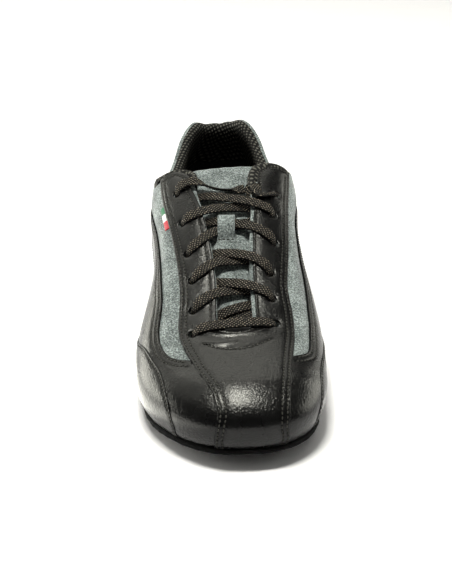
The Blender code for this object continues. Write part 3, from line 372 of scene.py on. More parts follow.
class SneakerColours(bpy.types.PropertyGroup):
    """Colours that a user would change."""
    leather: tint("Leather", "Black of the leather", "#070707")
    suede: tint("Suede", "Slate grey of the suede", "#717976")
    suede_dark: tint("Suede shade", "Dark flecks of the nap", "#323937")
    suede_light: tint("Suede light", "Pale flecks of the nap", "#b0bab5")
    lining: tint("Lining", "Black of the mesh lining", "#0f0f0f")
    lining_dot: tint("Lining dots", "Pale dots in the mesh", "#5c5b53")
    lace: tint("Lace", "Black of the lace", "#060606")
    # Painted highlight: the pale colour put on the crowns of the lace's threads
    lace_painted_highlight: tint("Lace flecks", "Lit threads of the braid", "#b3a892")
    sole: tint("Sole", "Black of the sole", "#050505")
    # Thread grey: partly the thread's own colour, partly a painted glint so that the stitches show
    thread: tint("Thread", "Black of the sewing thread", "#292926")
    floor: tint("Floor", "Pale studio floor", "#f4f4f2")


def size_mm(name):
    return getattr(bpy.context.scene.sneaker_sizes, name) * 1000


def colour(name):
    return (*getattr(bpy.context.scene.sneaker_colours, name), 1.0)


# Small helpers
def unit(vectors):
    """The vectors, each brought to length 1."""
    return vectors / np.linalg.norm(vectors, axis=-1, keepdims=True)


def run_along(line):
    """Length of a line up to each of its points."""
    return np.concatenate([[0], np.cumsum(np.linalg.norm(np.diff(line, axis=0), axis=1))])


def sampled(at, run, values):
    """Rows of values read off at places along a run."""
    return np.stack([np.interp(at, run, column) for column in values.T], -1)


def eased(line, passes):
    """The line with its inner points drawn towards their neighbours."""
    for _ in range(passes):
        line[1:-1] = 0.25 * line[:-2] + 0.5 * line[1:-1] + 0.25 * line[2:]
    return line


def fade(value):
    """Smooth step from 0 to 1."""
    value = np.clip(value, 0, 1)
    return value * value * (3 - 2 * value)


def stretches(line, good, least):
    """The runs of good points in a line that have at least so many points."""
    turns = np.flatnonzero(np.diff(np.concatenate([[False], good, [False]]).astype(int)))
    return [line[a:b] for a, b in zip(turns[::2], turns[1::2]) if b - a >= least]


def tube_faces(count, size, first=0, flip=False):
    """Faces of a capped tube of count rings of size points; flip turns its inside out."""
    faces = []
    for start in range(first, first + (count - 1) * size, size):
        for k in range(size):
            n = (k + 1) % size
            faces.append((start + k, start + n, start + size + n, start + size + k))
    near = tuple(range(first, first + size))
    far = tuple(range(first + (count - 1) * size, first + count * size))
    if flip:
        return [(a, d, c, b) for a, b, c, d in faces] + [near, far[::-1]]
    return faces + [near[::-1], far]


# The last function
def spline_rows(knots, values, at):
    """Natural cubic spline through the rows of a table."""
    knots = np.array(knots, float)
    values = np.array(values, float)
    count = len(knots)
    step = np.diff(knots)
    matrix = np.eye(count)
    right = np.zeros(count)
    for i in range(1, count - 1):
        matrix[i, i - 1:i + 2] = step[i - 1], 2 * (step[i - 1] + step[i]), step[i]
        right[i] = 6 * ((values[i + 1] - values[i]) / step[i]
                        - (values[i] - values[i - 1]) / step[i - 1])
    second = np.linalg.solve(matrix, right)
    k = np.clip(np.searchsorted(knots, at) - 1, 0, count - 2)
    a = (knots[k + 1] - at) / step[k]
    b = 1 - a
    bend = ((a ** 3 - a) * second[k] + (b ** 3 - b) * second[k + 1]) * step[k] ** 2 / 6
    return a * values[k] + b * values[k + 1] + bend


STATION = np.linspace(0.0, LENGTH, 5721)
SHAPE = {name: spline_rows([row[0] for row in LAST], [row[i] for row in LAST], STATION)
         for i, name in enumerate(LAST_COLUMNS)}


def size_at(name, s):
    return np.interp(s, STATION, SHAPE[name])


def end_round(s):
    toe = np.clip(1 - s / TOE_ROUND, 0, 1)
    heel = np.clip(1 - (LENGTH - s) / HEEL_ROUND, 0, 1)
    return ((1 - toe ** TOE_POWER) ** (1 / TOE_POWER)
            * (1 - heel ** HEEL_POWER) ** (1 / HEEL_POWER))


def outline_x(side, s):
    width = np.where(side < 0, size_at("lateral", s), size_at("medial", s))
    return size_at("axis_x", s) + side * width * end_round(s)


def ridge_station(s):
    toe_power = TOE_FAN / (TOE_FAN - TOE_POLE)
    heel_power = (LENGTH - HEEL_FAN) / (HEEL_POLE - HEEL_FAN)
    toe = TOE_POLE + (TOE_FAN - TOE_POLE) * (np.clip(s, 0, TOE_FAN) / TOE_FAN) ** toe_power
    back = np.clip(LENGTH - s, 0, LENGTH - HEEL_FAN) / (LENGTH - HEEL_FAN)
    heel = HEEL_POLE - (HEEL_POLE - HEEL_FAN) * back ** heel_power
    return np.where(s < TOE_FAN, toe, np.where(s > HEEL_FAN, heel, s))


def section_frame(side, s):
    """Plan points of the ridge and of the widest line for a section."""
    ridge = ridge_station(s)
    return size_at("axis_x", ridge), ridge, outline_x(side, s), s


def raw_point(side, s, angle):
    ridge_x, ridge_y, wide_x, wide_y = section_frame(side, s)
    power = size_at("power", ridge_y)
    length = np.hypot(ridge_x - wide_x, ridge_y - wide_y)
    in_x = (ridge_x - wide_x) / length
    in_y = (ridge_y - wide_y) / length
    tuck = size_at("tuck", s)
    rise = size_at("widest_up", s)
    wide_z = size_at("feather_z", s + in_y * tuck) + rise
    up = np.radians(np.clip(angle, 0, 90))
    radius = (np.cos(up) ** power + np.sin(up) ** power) ** (-1 / power)
    inward = (1 - radius * np.cos(up)) * length
    low = np.radians(np.clip(-angle, 0, 90) * UNDER_TURN / 90)
    end = math.radians(UNDER_TURN)
    inward = inward + tuck * (1 - np.cos(low)) / (1 - math.cos(end))
    x = wide_x + in_x * inward
    y = wide_y + in_y * inward
    top = size_at("ridge_z", np.clip(y, 0, LENGTH))
    z = np.where(angle >= 0, wide_z + (top - wide_z) * radius * np.sin(up),
                 wide_z - rise * np.sin(low) / math.sin(end))
    return np.stack([x - CENTRE_X, y - CENTRE_Y, z], -1)


def skin_and_normal(side, s, angle):
    """Points of the finished outside and the normals there."""
    side, s, angle = np.broadcast_arrays(np.asarray(side, float), np.asarray(s, float),
                                         np.asarray(angle, float))
    ds = 0.4
    da = 0.6
    s0 = np.clip(s, ds, LENGTH - ds)
    a0 = np.clip(angle, -90 + da, 90 - da)
    along = raw_point(side, s0 + ds, a0) - raw_point(side, s0 - ds, a0)
    around = raw_point(side, s0, a0 + da) - raw_point(side, s0, a0 - da)
    normal = unit(np.cross(along, around) * side[..., None])
    near = outline_x(side, s) - size_at("axis_x", s)
    away = outline_x(side, s0) - size_at("axis_x", s0)
    normal[..., 0] *= np.clip(near / away, 0, 1)
    return raw_point(side, s, angle), unit(normal)


def to_chart(side, s, angle):
    ridge_x, ridge_y, wide_x, wide_y = section_frame(np.asarray(side, float),
                                                     np.asarray(s, float))
    reach = (90 - np.asarray(angle, float)) / 90
    return np.stack([ridge_x + (wide_x - ridge_x) * reach,
                     ridge_y + (wide_y - ridge_y) * reach], -1)


def from_chart(points):
    x = points[:, 0]
    y = points[:, 1]
    side = np.where(x < size_at("axis_x", np.clip(y, TOE_POLE, HEEL_POLE)), -1.0, 1.0)
    low = np.zeros(len(x))
    high = np.full(len(x), LENGTH)
    for _ in range(36):
        middle = (low + high) / 2
        ridge_x, ridge_y, wide_x, wide_y = section_frame(side, middle)
        turn = ((wide_x - ridge_x) * (y - ridge_y) - (wide_y - ridge_y) * (x - ridge_x)) * side
        low = np.where(turn > 0, middle, low)
        high = np.where(turn > 0, high, middle)
    s = (low + high) / 2
    ridge_x, ridge_y, wide_x, wide_y = section_frame(side, s)
    reach = np.hypot(x - ridge_x, y - ridge_y) / np.hypot(wide_x - ridge_x, wide_y - ridge_y)
    return side, s, np.clip(90 - 90 * reach, -90, 90)


def on_skin(flat):
    """Points of the skin, and normals, over chart points."""
    return skin_and_normal(*from_chart(np.asarray(flat, float)))


def lifted(flat, height):
    points, normals = on_skin(flat)
    return points + normals * np.broadcast_to(height, len(points))[:, None]


def angle_at_x(side, s, x):
    ridge_x, ridge_y, wide_x, _ = section_frame(side, s)
    power = size_at("power", ridge_y)
    across = np.clip((ridge_x - x) / (ridge_x - wide_x), 0, 1)
    return np.degrees(np.arctan2((1 - across ** power) ** (1 / power), across))


def angle_at_height(side, s, z):
    low = np.zeros(np.shape(s))
    high = np.full(np.shape(s), 90.0)
    for _ in range(40):
        middle = (low + high) / 2
        above = raw_point(side, s, middle)[..., 2] > z
        high = np.where(above, middle, high)
        low = np.where(above, low, middle)
    return (low + high) / 2


# Lines in the chart
def rounded(points, steps=16):
    """Fine rounded line through points of any dimension."""
    points = np.array(points, float)
    ends = np.vstack([2 * points[0] - points[1], points, 2 * points[-1] - points[-2]])
    fine = []
    for i in range(1, len(ends) - 2):
        p0, p1, p2, p3 = ends[i - 1:i + 3]
        for t in np.linspace(0, 1, steps, endpoint=False):
            fine.append(0.5 * (2 * p1 + (p2 - p0) * t + (2 * p0 - 5 * p1 + 4 * p2 - p3) * t ** 2
                               + (3 * p1 - p0 - 3 * p2 + p3) * t ** 3))
    fine.append(ends[-2])
    return np.array(fine)


def even_line(fine, step=LINE_STEP):
    fine = np.asarray(fine, float)
    run = run_along(fine)
    count = max(1, int(round(run[-1] / step)))
    return sampled(np.linspace(0, run[-1], count + 1), run, fine)


def smooth_line(points, step=LINE_STEP):
    return even_line(rounded(points), step)


def seam(rows, side):
    rows = np.array(rows, float)
    return smooth_line(to_chart(side, rows[:, 0], rows[:, 1]))


def feather(side, s0, s1):
    s = np.linspace(s0, s1, FEATHER_POINTS)
    return even_line(to_chart(side, s, np.full(FEATHER_POINTS, -90.0)))


def throat_half(side, setback, end):
    """Throat edge of one side, from its rounded end up to the tab corner."""
    column = 1 if side < 0 else 2
    half = 0.5 * (THROAT[0][2] - THROAT[0][1]) + setback
    first = THROAT[0][0]
    depth = first - THROAT_END + end
    line = []
    for turn in np.radians((0, 22, 45, 67)):
        line.append((THROAT_MIDDLE + side * half * math.sin(turn), first - depth * math.cos(turn)))
    for row in THROAT:
        line.append((row[column] + side * setback, row[0]))
    chart = []
    for x, s in line:
        where = 1.0 if x > float(size_at("axis_x", s)) else -1.0
        chart.append(to_chart(where, s, angle_at_x(where, s, x)))
    return chart


def collar_half(side):
    """Collar edge of one side, from the ankle back to the heel middle."""
    rows = np.array(COLLAR_FRONT[side] + COLLAR[side], float)
    return [to_chart(side, s, a)
            for s, a in zip(rows[:, 0], angle_at_height(side, rows[:, 0], rows[:, 1]))]


def opening_loop():
    """Edge of the shell round the throat and the collar."""
    half = {}
    for side in SIDES:
        tab = [to_chart(side, s, angle) for s, angle in TAB[side]]
        half[side] = smooth_line(throat_half(side, 0.0, 0.0) + tab + collar_half(side))
    return np.vstack([half[1], half[-1][::-1][1:-1]])


def leather_opening():
    """Edge of the eyestay leather round the throat and over the tabs."""
    half = {}
    for side in SIDES:
        throat = throat_half(side, LEATHER_SETBACK[side], LEATHER_END_SETBACK)[:-1]
        tab = [to_chart(side, s, angle) for s, angle in LEATHER_TAB[side]]
        half[side] = smooth_line(throat + tab)
    return np.vstack([half[1], half[-1][::-1][:-1]])


def slopes(flat):
    """How the skin moves for a step in chart x and in chart y."""
    half = 0.25
    right = on_skin(flat + (half, 0))[0] - on_skin(flat - (half, 0))[0]
    ahead = on_skin(flat + (0, half))[0] - on_skin(flat - (0, half))[0]
    return right / (2 * half), ahead / (2 * half)


def hole_loop(side, s, angle, radius, count):
    """Round hole on the skin, found from the local slopes of the last function."""
    middle = to_chart(float(side), s, angle)
    first, second = slopes(np.array([middle]))
    matrix = np.stack([first[0], second[0]], -1)
    along = first[0] / np.linalg.norm(first[0])
    across = second[0] - along * (second[0] @ along)
    across = across / np.linalg.norm(across)
    loop = []
    for turn in np.linspace(0, 2 * math.pi, count, endpoint=False):
        goal = radius * (math.cos(turn) * along + math.sin(turn) * across)
        loop.append(middle + np.linalg.lstsq(matrix, goal, rcond=None)[0])
    return np.array(loop)


def all_holes(grow=0.0, count=20):
    """Edges of the lace holes, each wider by a distance."""
    return [hole_loop(side, s, angle, size_mm("hole_radius") + grow, count)
            for side in SIDES for s, angle in HOLES[side]]


def shifted(line, distance):
    """Chart line moved to its left by a real distance on the skin."""
    way = unit(np.gradient(line, axis=0))
    left = np.stack([-way[:, 1], way[:, 0]], -1)
    first, second = slopes(line)
    a = (first * first).sum(1)
    b = (first * second).sum(1)
    c = (second * second).sum(1)
    det = np.maximum(a * c - b * b, 1e-6)
    move = np.stack([(c * left[:, 0] - b * left[:, 1]) / det,
                     (a * left[:, 1] - b * left[:, 0]) / det], -1)
    size = np.sqrt(np.maximum((left * move).sum(1), 1e-9))
    return line + move / size[:, None] * np.broadcast_to(distance, len(line))[:, None]


def beside(line, way, distances):
    """Lines along a chart line at several distances; way is 1 for its left, -1 for its right."""
    return [shifted(line, way * d) for d in distances]


def join_lines(lines):
    """Closed loop from lines that follow each other, without doubled points."""
    points = []
    for line in lines:
        for point in line:
            if not points or np.hypot(*(point - points[-1])) > DOUBLED:
                points.append(point)
    while np.hypot(*(points[0] - points[-1])) < DOUBLED:
        points.pop()
    return np.array(points)


def closed(loop):
    return np.vstack([loop, loop[:1]])


def inside(points, loop):
    hit = np.zeros(len(points), bool)
    x = points[:, 0]
    y = points[:, 1]
    for (x0, y0), (x1, y1) in zip(loop, np.roll(loop, -1, 0)):
        if y1 != y0:
            cross = (y0 > y) != (y1 > y)
            hit ^= cross & (x < (x1 - x0) * (y - y0) / (y1 - y0) + x0)
    return hit


def in_panel(points, loops):
    """Which points lie inside the first loop and outside the others."""
    good = inside(points, loops[0])
    for hole in loops[1:]:
        good &= ~inside(points, hole)
    return good


def nearest(points, targets):
    """Distance from each point to the nearest target point."""
    tree = KDTree(len(targets))
    for i, target in enumerate(targets):
        tree.insert((*target, 0.0)[:3], i)
    tree.balance()
    return np.array([tree.find((*point, 0.0)[:3])[2] for point in points])


def nearest_index(line, point):
    """Number of the line's point that lies closest to a point."""
    return int(np.argmin(np.hypot(*(line - point).T)))


def skin_lines(*lines, step=0.35):
    """Closely spaced points of chart lines on the skin."""
    return np.vstack([on_skin(even_line(line, step))[0] for line in lines])


def cut_lines():
    """All the edges and seams of the upper, as chart lines; most have one for each side."""
    inner = leather_opening()
    heel_angles = np.linspace(FOXING_EDGE[1][-1][1], -90, 90)
    cut = {"opening": opening_loop(),
           "heel": even_line(to_chart(1.0, np.full(90, LENGTH), heel_angles))}
    for name, rows in (("centre", CENTRE_SEAM), ("suede", SUEDE_EDGE), ("foxing", FOXING_EDGE)):
        cut[name] = {side: seam(rows[side], side) for side in SIDES}
    for name in ("wing_seam", "wing_foxing", "wing_loop", "foxing_loop"):
        cut[name] = {}
    meet = {}
    toe = {}
    wing = {}
    back = {}
    for side in SIDES:
        centre = cut["centre"][side]
        suede = cut["suede"][side]
        foxing = cut["foxing"][side]
        meet[side] = nearest_index(inner, centre[-1])
        centre[-1] = inner[meet[side]]
        corner = nearest_index(centre, suede[0])
        suede[0] = centre[corner]
        tail = nearest_index(foxing, suede[-1])
        suede[-1] = foxing[tail]
        wing_from = CENTRE_SEAM[side][0][0]
        foxing_from = FOXING_EDGE[side][0][0]
        toe[side] = feather(side, 0.0, wing_from)
        wing[side] = feather(side, wing_from, foxing_from)
        back[side] = feather(side, foxing_from, LENGTH)
        cut["wing_seam"][side] = centre[:corner + 1]
        cut["wing_foxing"][side] = foxing[:tail + 1]
        cut["wing_loop"][side] = join_lines([centre[:corner], suede, foxing[tail::-1],
                                             wing[side][::-1]])
        cut["foxing_loop"][side] = join_lines([foxing, cut["heel"], back[side][::-1]])
    cut["around"] = np.vstack([inner[meet[1]::-1], inner[:meet[-1] - 1:-1]])
    cut["sole"] = join_lines([back[-1][::-1], wing[-1][::-1], toe[-1][::-1], toe[1], wing[1],
                              back[1]])
    cut["eyestay_loop"] = join_lines([toe[-1][::-1], toe[1], cut["centre"][1], cut["around"],
                                      cut["centre"][-1][::-1]])
    return cut


CUT = cut_lines()


# Mesh building
def add_piece(name, points, faces, materials, picks=None, uv=None, smooth_angle=50):
    """New object from points in mm; picks are material numbers, uv is one pair per point."""
    mesh = bpy.data.meshes.new(name)
    mesh.from_pydata([tuple(float(c) * 0.001 for c in p) for p in points], [],
                     [tuple(int(i) for i in face) for face in faces])
    piece = bpy.data.objects.new(name, mesh)
    bpy.context.scene.collection.objects.link(piece)
    for look in materials:
        mesh.materials.append(look)
    if picks is not None:
        mesh.polygons.foreach_set("material_index", np.asarray(picks, np.int32))
    if uv is not None:
        layer = mesh.uv_layers.new(name="surface")
        corner = np.zeros(len(mesh.loops), np.int32)
        mesh.loops.foreach_get("vertex_index", corner)
        layer.data.foreach_set("uv", np.asarray(uv, np.float32)[corner].ravel())
    if mesh.validate():
        raise RuntimeError(name + " has bad faces")
    bpy.ops.object.select_all(action="DESELECT")
    piece.select_set(True)
    bpy.context.view_layer.objects.active = piece
    bpy.ops.object.shade_smooth_by_angle(angle=math.radians(smooth_angle))
    return piece


def finish_piece(piece, slot, *nodes):
    """The piece rides on the shoe and stands for its solids."""
    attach(piece, "root")
    if nodes:
        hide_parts(*nodes)
    return piece


def net_of(loops, rows, step):
    """Triangle net of the chart inside the first loop and outside the others, along rows."""
    low = loops[0].min(0) - step
    high = loops[0].max(0) + step
    grid = []
    for i, y in enumerate(np.arange(low[1], high[1], step * 0.866)):
        x = np.arange(low[0] + step / 2 * (i % 2), high[0], step)
        grid.append(np.column_stack([x, np.full(len(x), y)]))
    grid = np.vstack(grid)
    grid = grid[in_panel(grid, loops)]
    rim = np.vstack([even_line(closed(loop), 0.3) for loop in loops])
    runs = []
    for row in rows:
        runs += stretches(row, in_panel(row, loops) & (nearest(row, rim) > RIM_CLEAR), 2)
    fixed = np.vstack([rim] + [even_line(run, 0.4) for run in runs])
    grid = grid[nearest(grid, fixed) > step * 0.5]
    points = []
    edges = []
    for line, count in [(loop, len(loop)) for loop in loops] + [(r, len(r) - 1) for r in runs]:
        start = len(points)
        points += [tuple(p) for p in line]
        edges += [(start + k, start + (k + 1) % len(line)) for k in range(count)]
    points += [tuple(p) for p in grid]
    flat, _, triangles, _, _, _ = delaunay_2d_cdt(points, edges, [], 0, 0.01)
    flat = np.array([tuple(p) for p in flat])
    triangles = np.array([tuple(t) for t in triangles])
    corners = flat[triangles]
    area = ((corners[:, 1, 0] - corners[:, 0, 0]) * (corners[:, 2, 1] - corners[:, 0, 1])
            - (corners[:, 1, 1] - corners[:, 0, 1]) * (corners[:, 2, 0] - corners[:, 0, 0]))
    triangles[area < 0] = triangles[area < 0][:, ::-1]
    keep = in_panel(corners.mean(1), loops) & (np.abs(area) > LEAST_AREA)
    used, triangles = np.unique(triangles[keep], return_inverse=True)
    return flat[used], triangles.reshape(-1, 3)


def panel(name, net, top, bottom, materials, seams=None):
    """Closed sheet over a net between two heights, each a function of the skin's points.

    seams are chart lines along which the sheet is marked as dull.
    """
    flat, triangles = net
    base, normal = on_skin(flat)
    count = len(flat)
    points = np.vstack([base + normal * np.broadcast_to(level(base), count)[:, None]
                        for level in (top, bottom)])
    faces = triangles.tolist()
    sides = {pair for a, b, c in faces for pair in ((a, b), (b, c), (c, a))}
    rim = [(a, b) for a, b in sides if (b, a) not in sides]
    faces += [(c + count, b + count, a + count) for a, b, c in triangles.tolist()]
    faces += [(b, a, a + count, b + count) for a, b in sorted(rim)]
    picks = [0] * len(triangles) + [len(materials) - 1] * len(triangles) + [0] * len(rim)
    piece = add_piece(name, points, faces, materials, picks)
    if seams:
        away = nearest(base, skin_lines(*seams))
        mark = piece.data.attributes.new(SEAM_MARK, "FLOAT", "POINT")
        mark.data.foreach_set("value", np.tile(1 - fade(away / SEAM_REACH), 2))
    return piece


def edge_drop(distance, drop=0.6):
    """How far a rounded cut edge falls at a distance from it."""
    t = np.clip(1 - distance / size_mm("edge_round"), 0, 1)
    return -drop * (1 - np.sqrt(np.maximum(1 - t * t, 0)))


def hump(points, line, width):
    """Rounded ridge of height 1 along points of the skin."""
    return np.exp(-(nearest(points, line) / width) ** 2)


def trimmed(row, rim, least):
    """The stretches of a stitch row that keep their distance from the panel's edges."""
    return stretches(row, nearest(on_skin(row)[0], rim) >= least, 5)


def stitch_rows():
    """Stitch rows by panel, as chart lines."""
    rows = {"eyestay": [], "wing": {-1: [], 1: []}, "foxing": {}}
    around = CUT["around"]
    cut_edges = skin_lines(CUT["centre"][-1], CUT["centre"][1], around)
    for side in SIDES:
        for far in EYESTAY_ROWS:
            row = shifted(CUT["centre"][side], side * far)
            rows["eyestay"] += trimmed(row, cut_edges, far * ROW_KEEP)
        suede_rim = skin_lines(CUT["suede"][side], CUT["wing_seam"][side])
        for far in WING_ROWS:
            row = shifted(CUT["suede"][side], -side * far)
            rows["wing"][side] += trimmed(row, suede_rim, min(far * WING_ROW_KEEP, WING_ROWS[0]))
        rows["foxing"][side] = [shifted(CUT["foxing"][side], -side * FOXING_ROW)[1:-1]]
    across = around[:, 0] - THROAT_MIDDLE
    far = EYESTAY_STITCH[1] + (EYESTAY_STITCH[-1] - EYESTAY_STITCH[1]) * fade(-across / THROAT_TURN)
    rows["eyestay"] += trimmed(shifted(around, far), cut_edges, THROAT_ROW_KEEP)
    rows["eyestay"].append(smooth_line(CRESCENT_STITCH))
    return rows


STITCHES = stitch_rows()


def height_maps():
    """Height of each leather panel's face above the skin, as functions of skin points."""
    leather = size_mm("leather")
    hole_rim = np.vstack([on_skin(loop)[0] for loop in all_holes(count=40)])
    creases, ridges = ([(skin_lines(smooth_line(points)), size, width)
                        for points, size, width in table] for table in (CREASES, RIDGES))
    toe_break = skin_lines(smooth_line(TOE_BREAK))

    def groove(points, rows):
        return -STITCH_DEPTH * hump(points, skin_lines(*rows), STITCH_HALF)

    def folds(points):
        away = np.hypot(nearest(points, toe_break), TOE_BREAK_ROUND)
        high = TOE_BREAK_RISE * np.exp(-away / TOE_BREAK_REACH)
        for line, depth, width in creases:
            distance = nearest(points, line)
            high -= depth * np.exp(-(distance / width) ** 2)
            high += CREASE_LIP * depth * np.exp(-((distance - CREASE_LIP_AT * width) / width) ** 2)
        return high

    def eyestay(points):
        seams = nearest(points, skin_lines(CUT["centre"][-1], CUT["centre"][1]))
        throat = nearest(points, skin_lines(CUT["around"]))
        holes = nearest(points, hole_rim)
        high = EYESTAY_SWELL * (1 - fade(seams / SWELL_REACH)) + folds(points)
        high = high + edge_drop(np.minimum(seams, throat)) + edge_drop(holes, HOLE_DROP)
        high = high + groove(points, STITCHES["eyestay"])
        high -= HOLE_DIP * np.exp(-(holes / HOLE_DIP_REACH) ** 2)
        for line, rise, width in ridges:
            high += rise * hump(points, line, width)
        return high

    def wing(points, side):
        under = nearest(points, skin_lines(CUT["wing_seam"][side], CUT["wing_foxing"][side]))
        suede = nearest(points, skin_lines(CUT["suede"][side]))
        high = -WING_SINK * (1 - fade(under / WING_SINK_REACH)) + folds(points)
        return high + edge_drop(suede) + groove(points, STITCHES["wing"][side])

    def foxing(points, side):
        top = nearest(points, skin_lines(CUT["foxing"][side]))
        heel = nearest(points, skin_lines(CUT["heel"]))
        high = FOXING_SWELL * (1 - fade(top / SWELL_REACH)) + edge_drop(np.minimum(top, heel))
        return high + groove(points, STITCHES["foxing"][side])

    maps = {"eyestay": eyestay, "under": lambda points: np.full(len(points), -leather)}
    for side, word in SIDE_WORDS.items():
        maps["wing_" + word] = partial(wing, side=side)
        maps["foxing_" + word] = partial(foxing, side=side)
    return maps


# Materials
def add_node(tree, kind, sockets=None, into=None, **settings):
    """Adds a shader node with its settings.

    sockets are its inputs, as values or as outputs to link. into is (output, input to feed).
    """
    node = tree.nodes.new("ShaderNode" + kind)
    for key, value in settings.items():
        setattr(node, key, value)
    for key, value in (sockets or {}).items():
        if isinstance(value, bpy.types.NodeSocket):
            tree.links.new(value, node.inputs[key])
        else:
            node.inputs[key].default_value = value
    if into:
        tree.links.new(node.outputs[into[0]], into[1])
    return node


def material(name, space, finish):
    """Turns a function that adds the nodes of a material into one that gives the material.

    The function gets add_node for its tree, the shader's inputs and the texture space, which
    is Object or UV.
    """
    def of_function(fill):
        @wraps(fill)
        def finished():
            made = bpy.data.materials.get(name)
            if made is None:
                made = bpy.data.materials.new(name)
                made.use_nodes = True
                surface = made.node_tree.nodes["Principled BSDF"].inputs
                for key, value in finish.items():
                    surface[key].default_value = value
                node = partial(add_node, made.node_tree)
                fill(node, surface, node("TexCoord").outputs[space])
            return made
        return finished
    return of_function


def opaque(code):
    return (*linear(code), 1.0)


def paler(tone, times):
    """The colour with its light multiplied."""
    return (*(min(1.0, c * times) for c in tone[:3]), 1.0)


def set_stops(ramp, stops):
    """Gives a colour ramp its stops, as rows of (position, colour)."""
    for i, (position, tone) in enumerate(stops):
        stop = ramp.elements[i] if i < 2 else ramp.elements.new(position)
        stop.position = position
        stop.color = tone


@material("calf_leather_satin_black", "Object",
          {"Roughness": 0.25, "IOR": 1.5, "Coat Roughness": 0.22})
def black_leather(node, surface, where):
    """Full-grain calf leather, dyed through and finished with a thin satin coat.

    The eye gets a fine pebble grain of about 0.9 mm, a soft broad gloss, faint cloudy changes
    in the black and dull lines where the leather is cut or pierced by the needle.
    """
    black = colour("leather")
    cloud = node("TexNoise", {"Vector": where, "Scale": 1 / 0.018, "Detail": 3.0,
                              "Roughness": 0.6}).outputs["Fac"]
    node("Mix", {"A": black, "B": paler(black, 1.7), "Factor": cloud},
         ("Result", surface["Base Color"]), data_type="RGBA")
    node("MapRange", {"Value": cloud, "From Min": 0.3, "From Max": 0.7, "To Min": 0.24,
                      "To Max": 0.31}, ("Result", surface["Roughness"]))
    pebble = node("TexVoronoi", {"Vector": where, "Scale": 1 / 0.0009}, feature="SMOOTH_F1")
    coarse = node("Bump", {"Height": pebble.outputs["Distance"], "Strength": 0.5,
                           "Distance": 0.00035}, invert=True)
    pore = node("TexNoise", {"Vector": where, "Scale": 1 / 0.0006, "Detail": 2.0})
    node("Bump", {"Height": pore.outputs["Fac"], "Strength": 0.26, "Distance": 0.0003,
                  "Normal": coarse.outputs["Normal"]}, ("Normal", surface["Normal"]))
    seam_near = node("Attribute", attribute_name=SEAM_MARK).outputs["Fac"]
    for socket, finish in (("Specular IOR Level", 0.22), ("Coat Weight", 0.15)):
        node("MapRange", {"Value": seam_near, "To Min": finish, "To Max": 0.02},
             ("Result", surface[socket]))


@material("split_suede_slate", "Object",
          {"Roughness": 0.95, "Specular IOR Level": 0.1, "Sheen Weight": 0.25,
           "Sheen Roughness": 0.5})
def grey_suede(node, surface, where):
    """Split suede, buffed to a short nap.

    The eye gets a dull slate grey with pale and dark flecks of under 1 mm, wider patches
    where the nap lies another way, and a soft sheen at the edges.
    """
    fleck = node("TexNoise", {"Vector": where, "Scale": 1 / 0.00085, "Detail": 3.0,
                              "Roughness": 0.65}).outputs["Fac"]
    patch = node("TexNoise", {"Vector": where, "Scale": 1 / 0.014, "Detail": 2.0})
    sum_of = node("Math", {0: patch.outputs["Fac"], 1: 0.3, 2: fleck}, operation="MULTIPLY_ADD")
    ramp = node("ValToRGB", {"Fac": sum_of.outputs["Value"]}, ("Color", surface["Base Color"]))
    set_stops(ramp.color_ramp, ((0.48, colour("suede_dark")), (0.65, colour("suede")),
                                (0.83, colour("suede_light"))))
    node("Bump", {"Height": fleck, "Strength": 0.5, "Distance": 0.0005},
         ("Normal", surface["Normal"]))


@material("spacer_mesh_black", "UV", {"Roughness": 0.7, "Specular IOR Level": 0.12})
def mesh_lining(node, surface, where):
    """Black spacer mesh of knitted polyester over foam.

    The eye gets a grid of pale dots 2.4 mm apart, where the open cells catch the light,
    between raised black threads.
    """
    turned = node("Mapping", {"Vector": where, "Rotation": (0.0, 0.0, math.radians(22))})
    cell = node("TexVoronoi", {"Vector": turned.outputs["Vector"], "Scale": 1 / 2.4,
                               "Randomness": 0.05}, voronoi_dimensions="2D").outputs["Distance"]
    dot = node("MapRange", {"Value": cell, "From Min": 0.36, "From Max": 0.2},
               interpolation_type="SMOOTHSTEP")
    node("Mix", {"A": colour("lining"), "B": colour("lining_dot"),
                 "Factor": dot.outputs["Result"]},
         ("Result", surface["Base Color"]), data_type="RGBA")
    node("Bump", {"Height": cell, "Strength": 0.8, "Distance": 0.0006},
         ("Normal", surface["Normal"]))


@material("tricot_lining_black", "Object",
          {"Roughness": 0.9, "Specular IOR Level": 0.25, "Sheen Weight": 0.15})
def lining_cloth(node, surface, where):
    """Plain black tricot lining glued inside the upper: fine, dull and even."""
    rib = node("TexVoronoi", {"Vector": where, "Scale": 1 / 0.0012}).outputs["Distance"]
    node("Mix", {"A": opaque("#0d0d0d"), "B": opaque("#232323"), "Factor": rib},
         ("Result", surface["Base Color"]), data_type="RGBA")
    node("Bump", {"Height": rib, "Strength": 0.5, "Distance": 0.0003},
         ("Normal", surface["Normal"]))


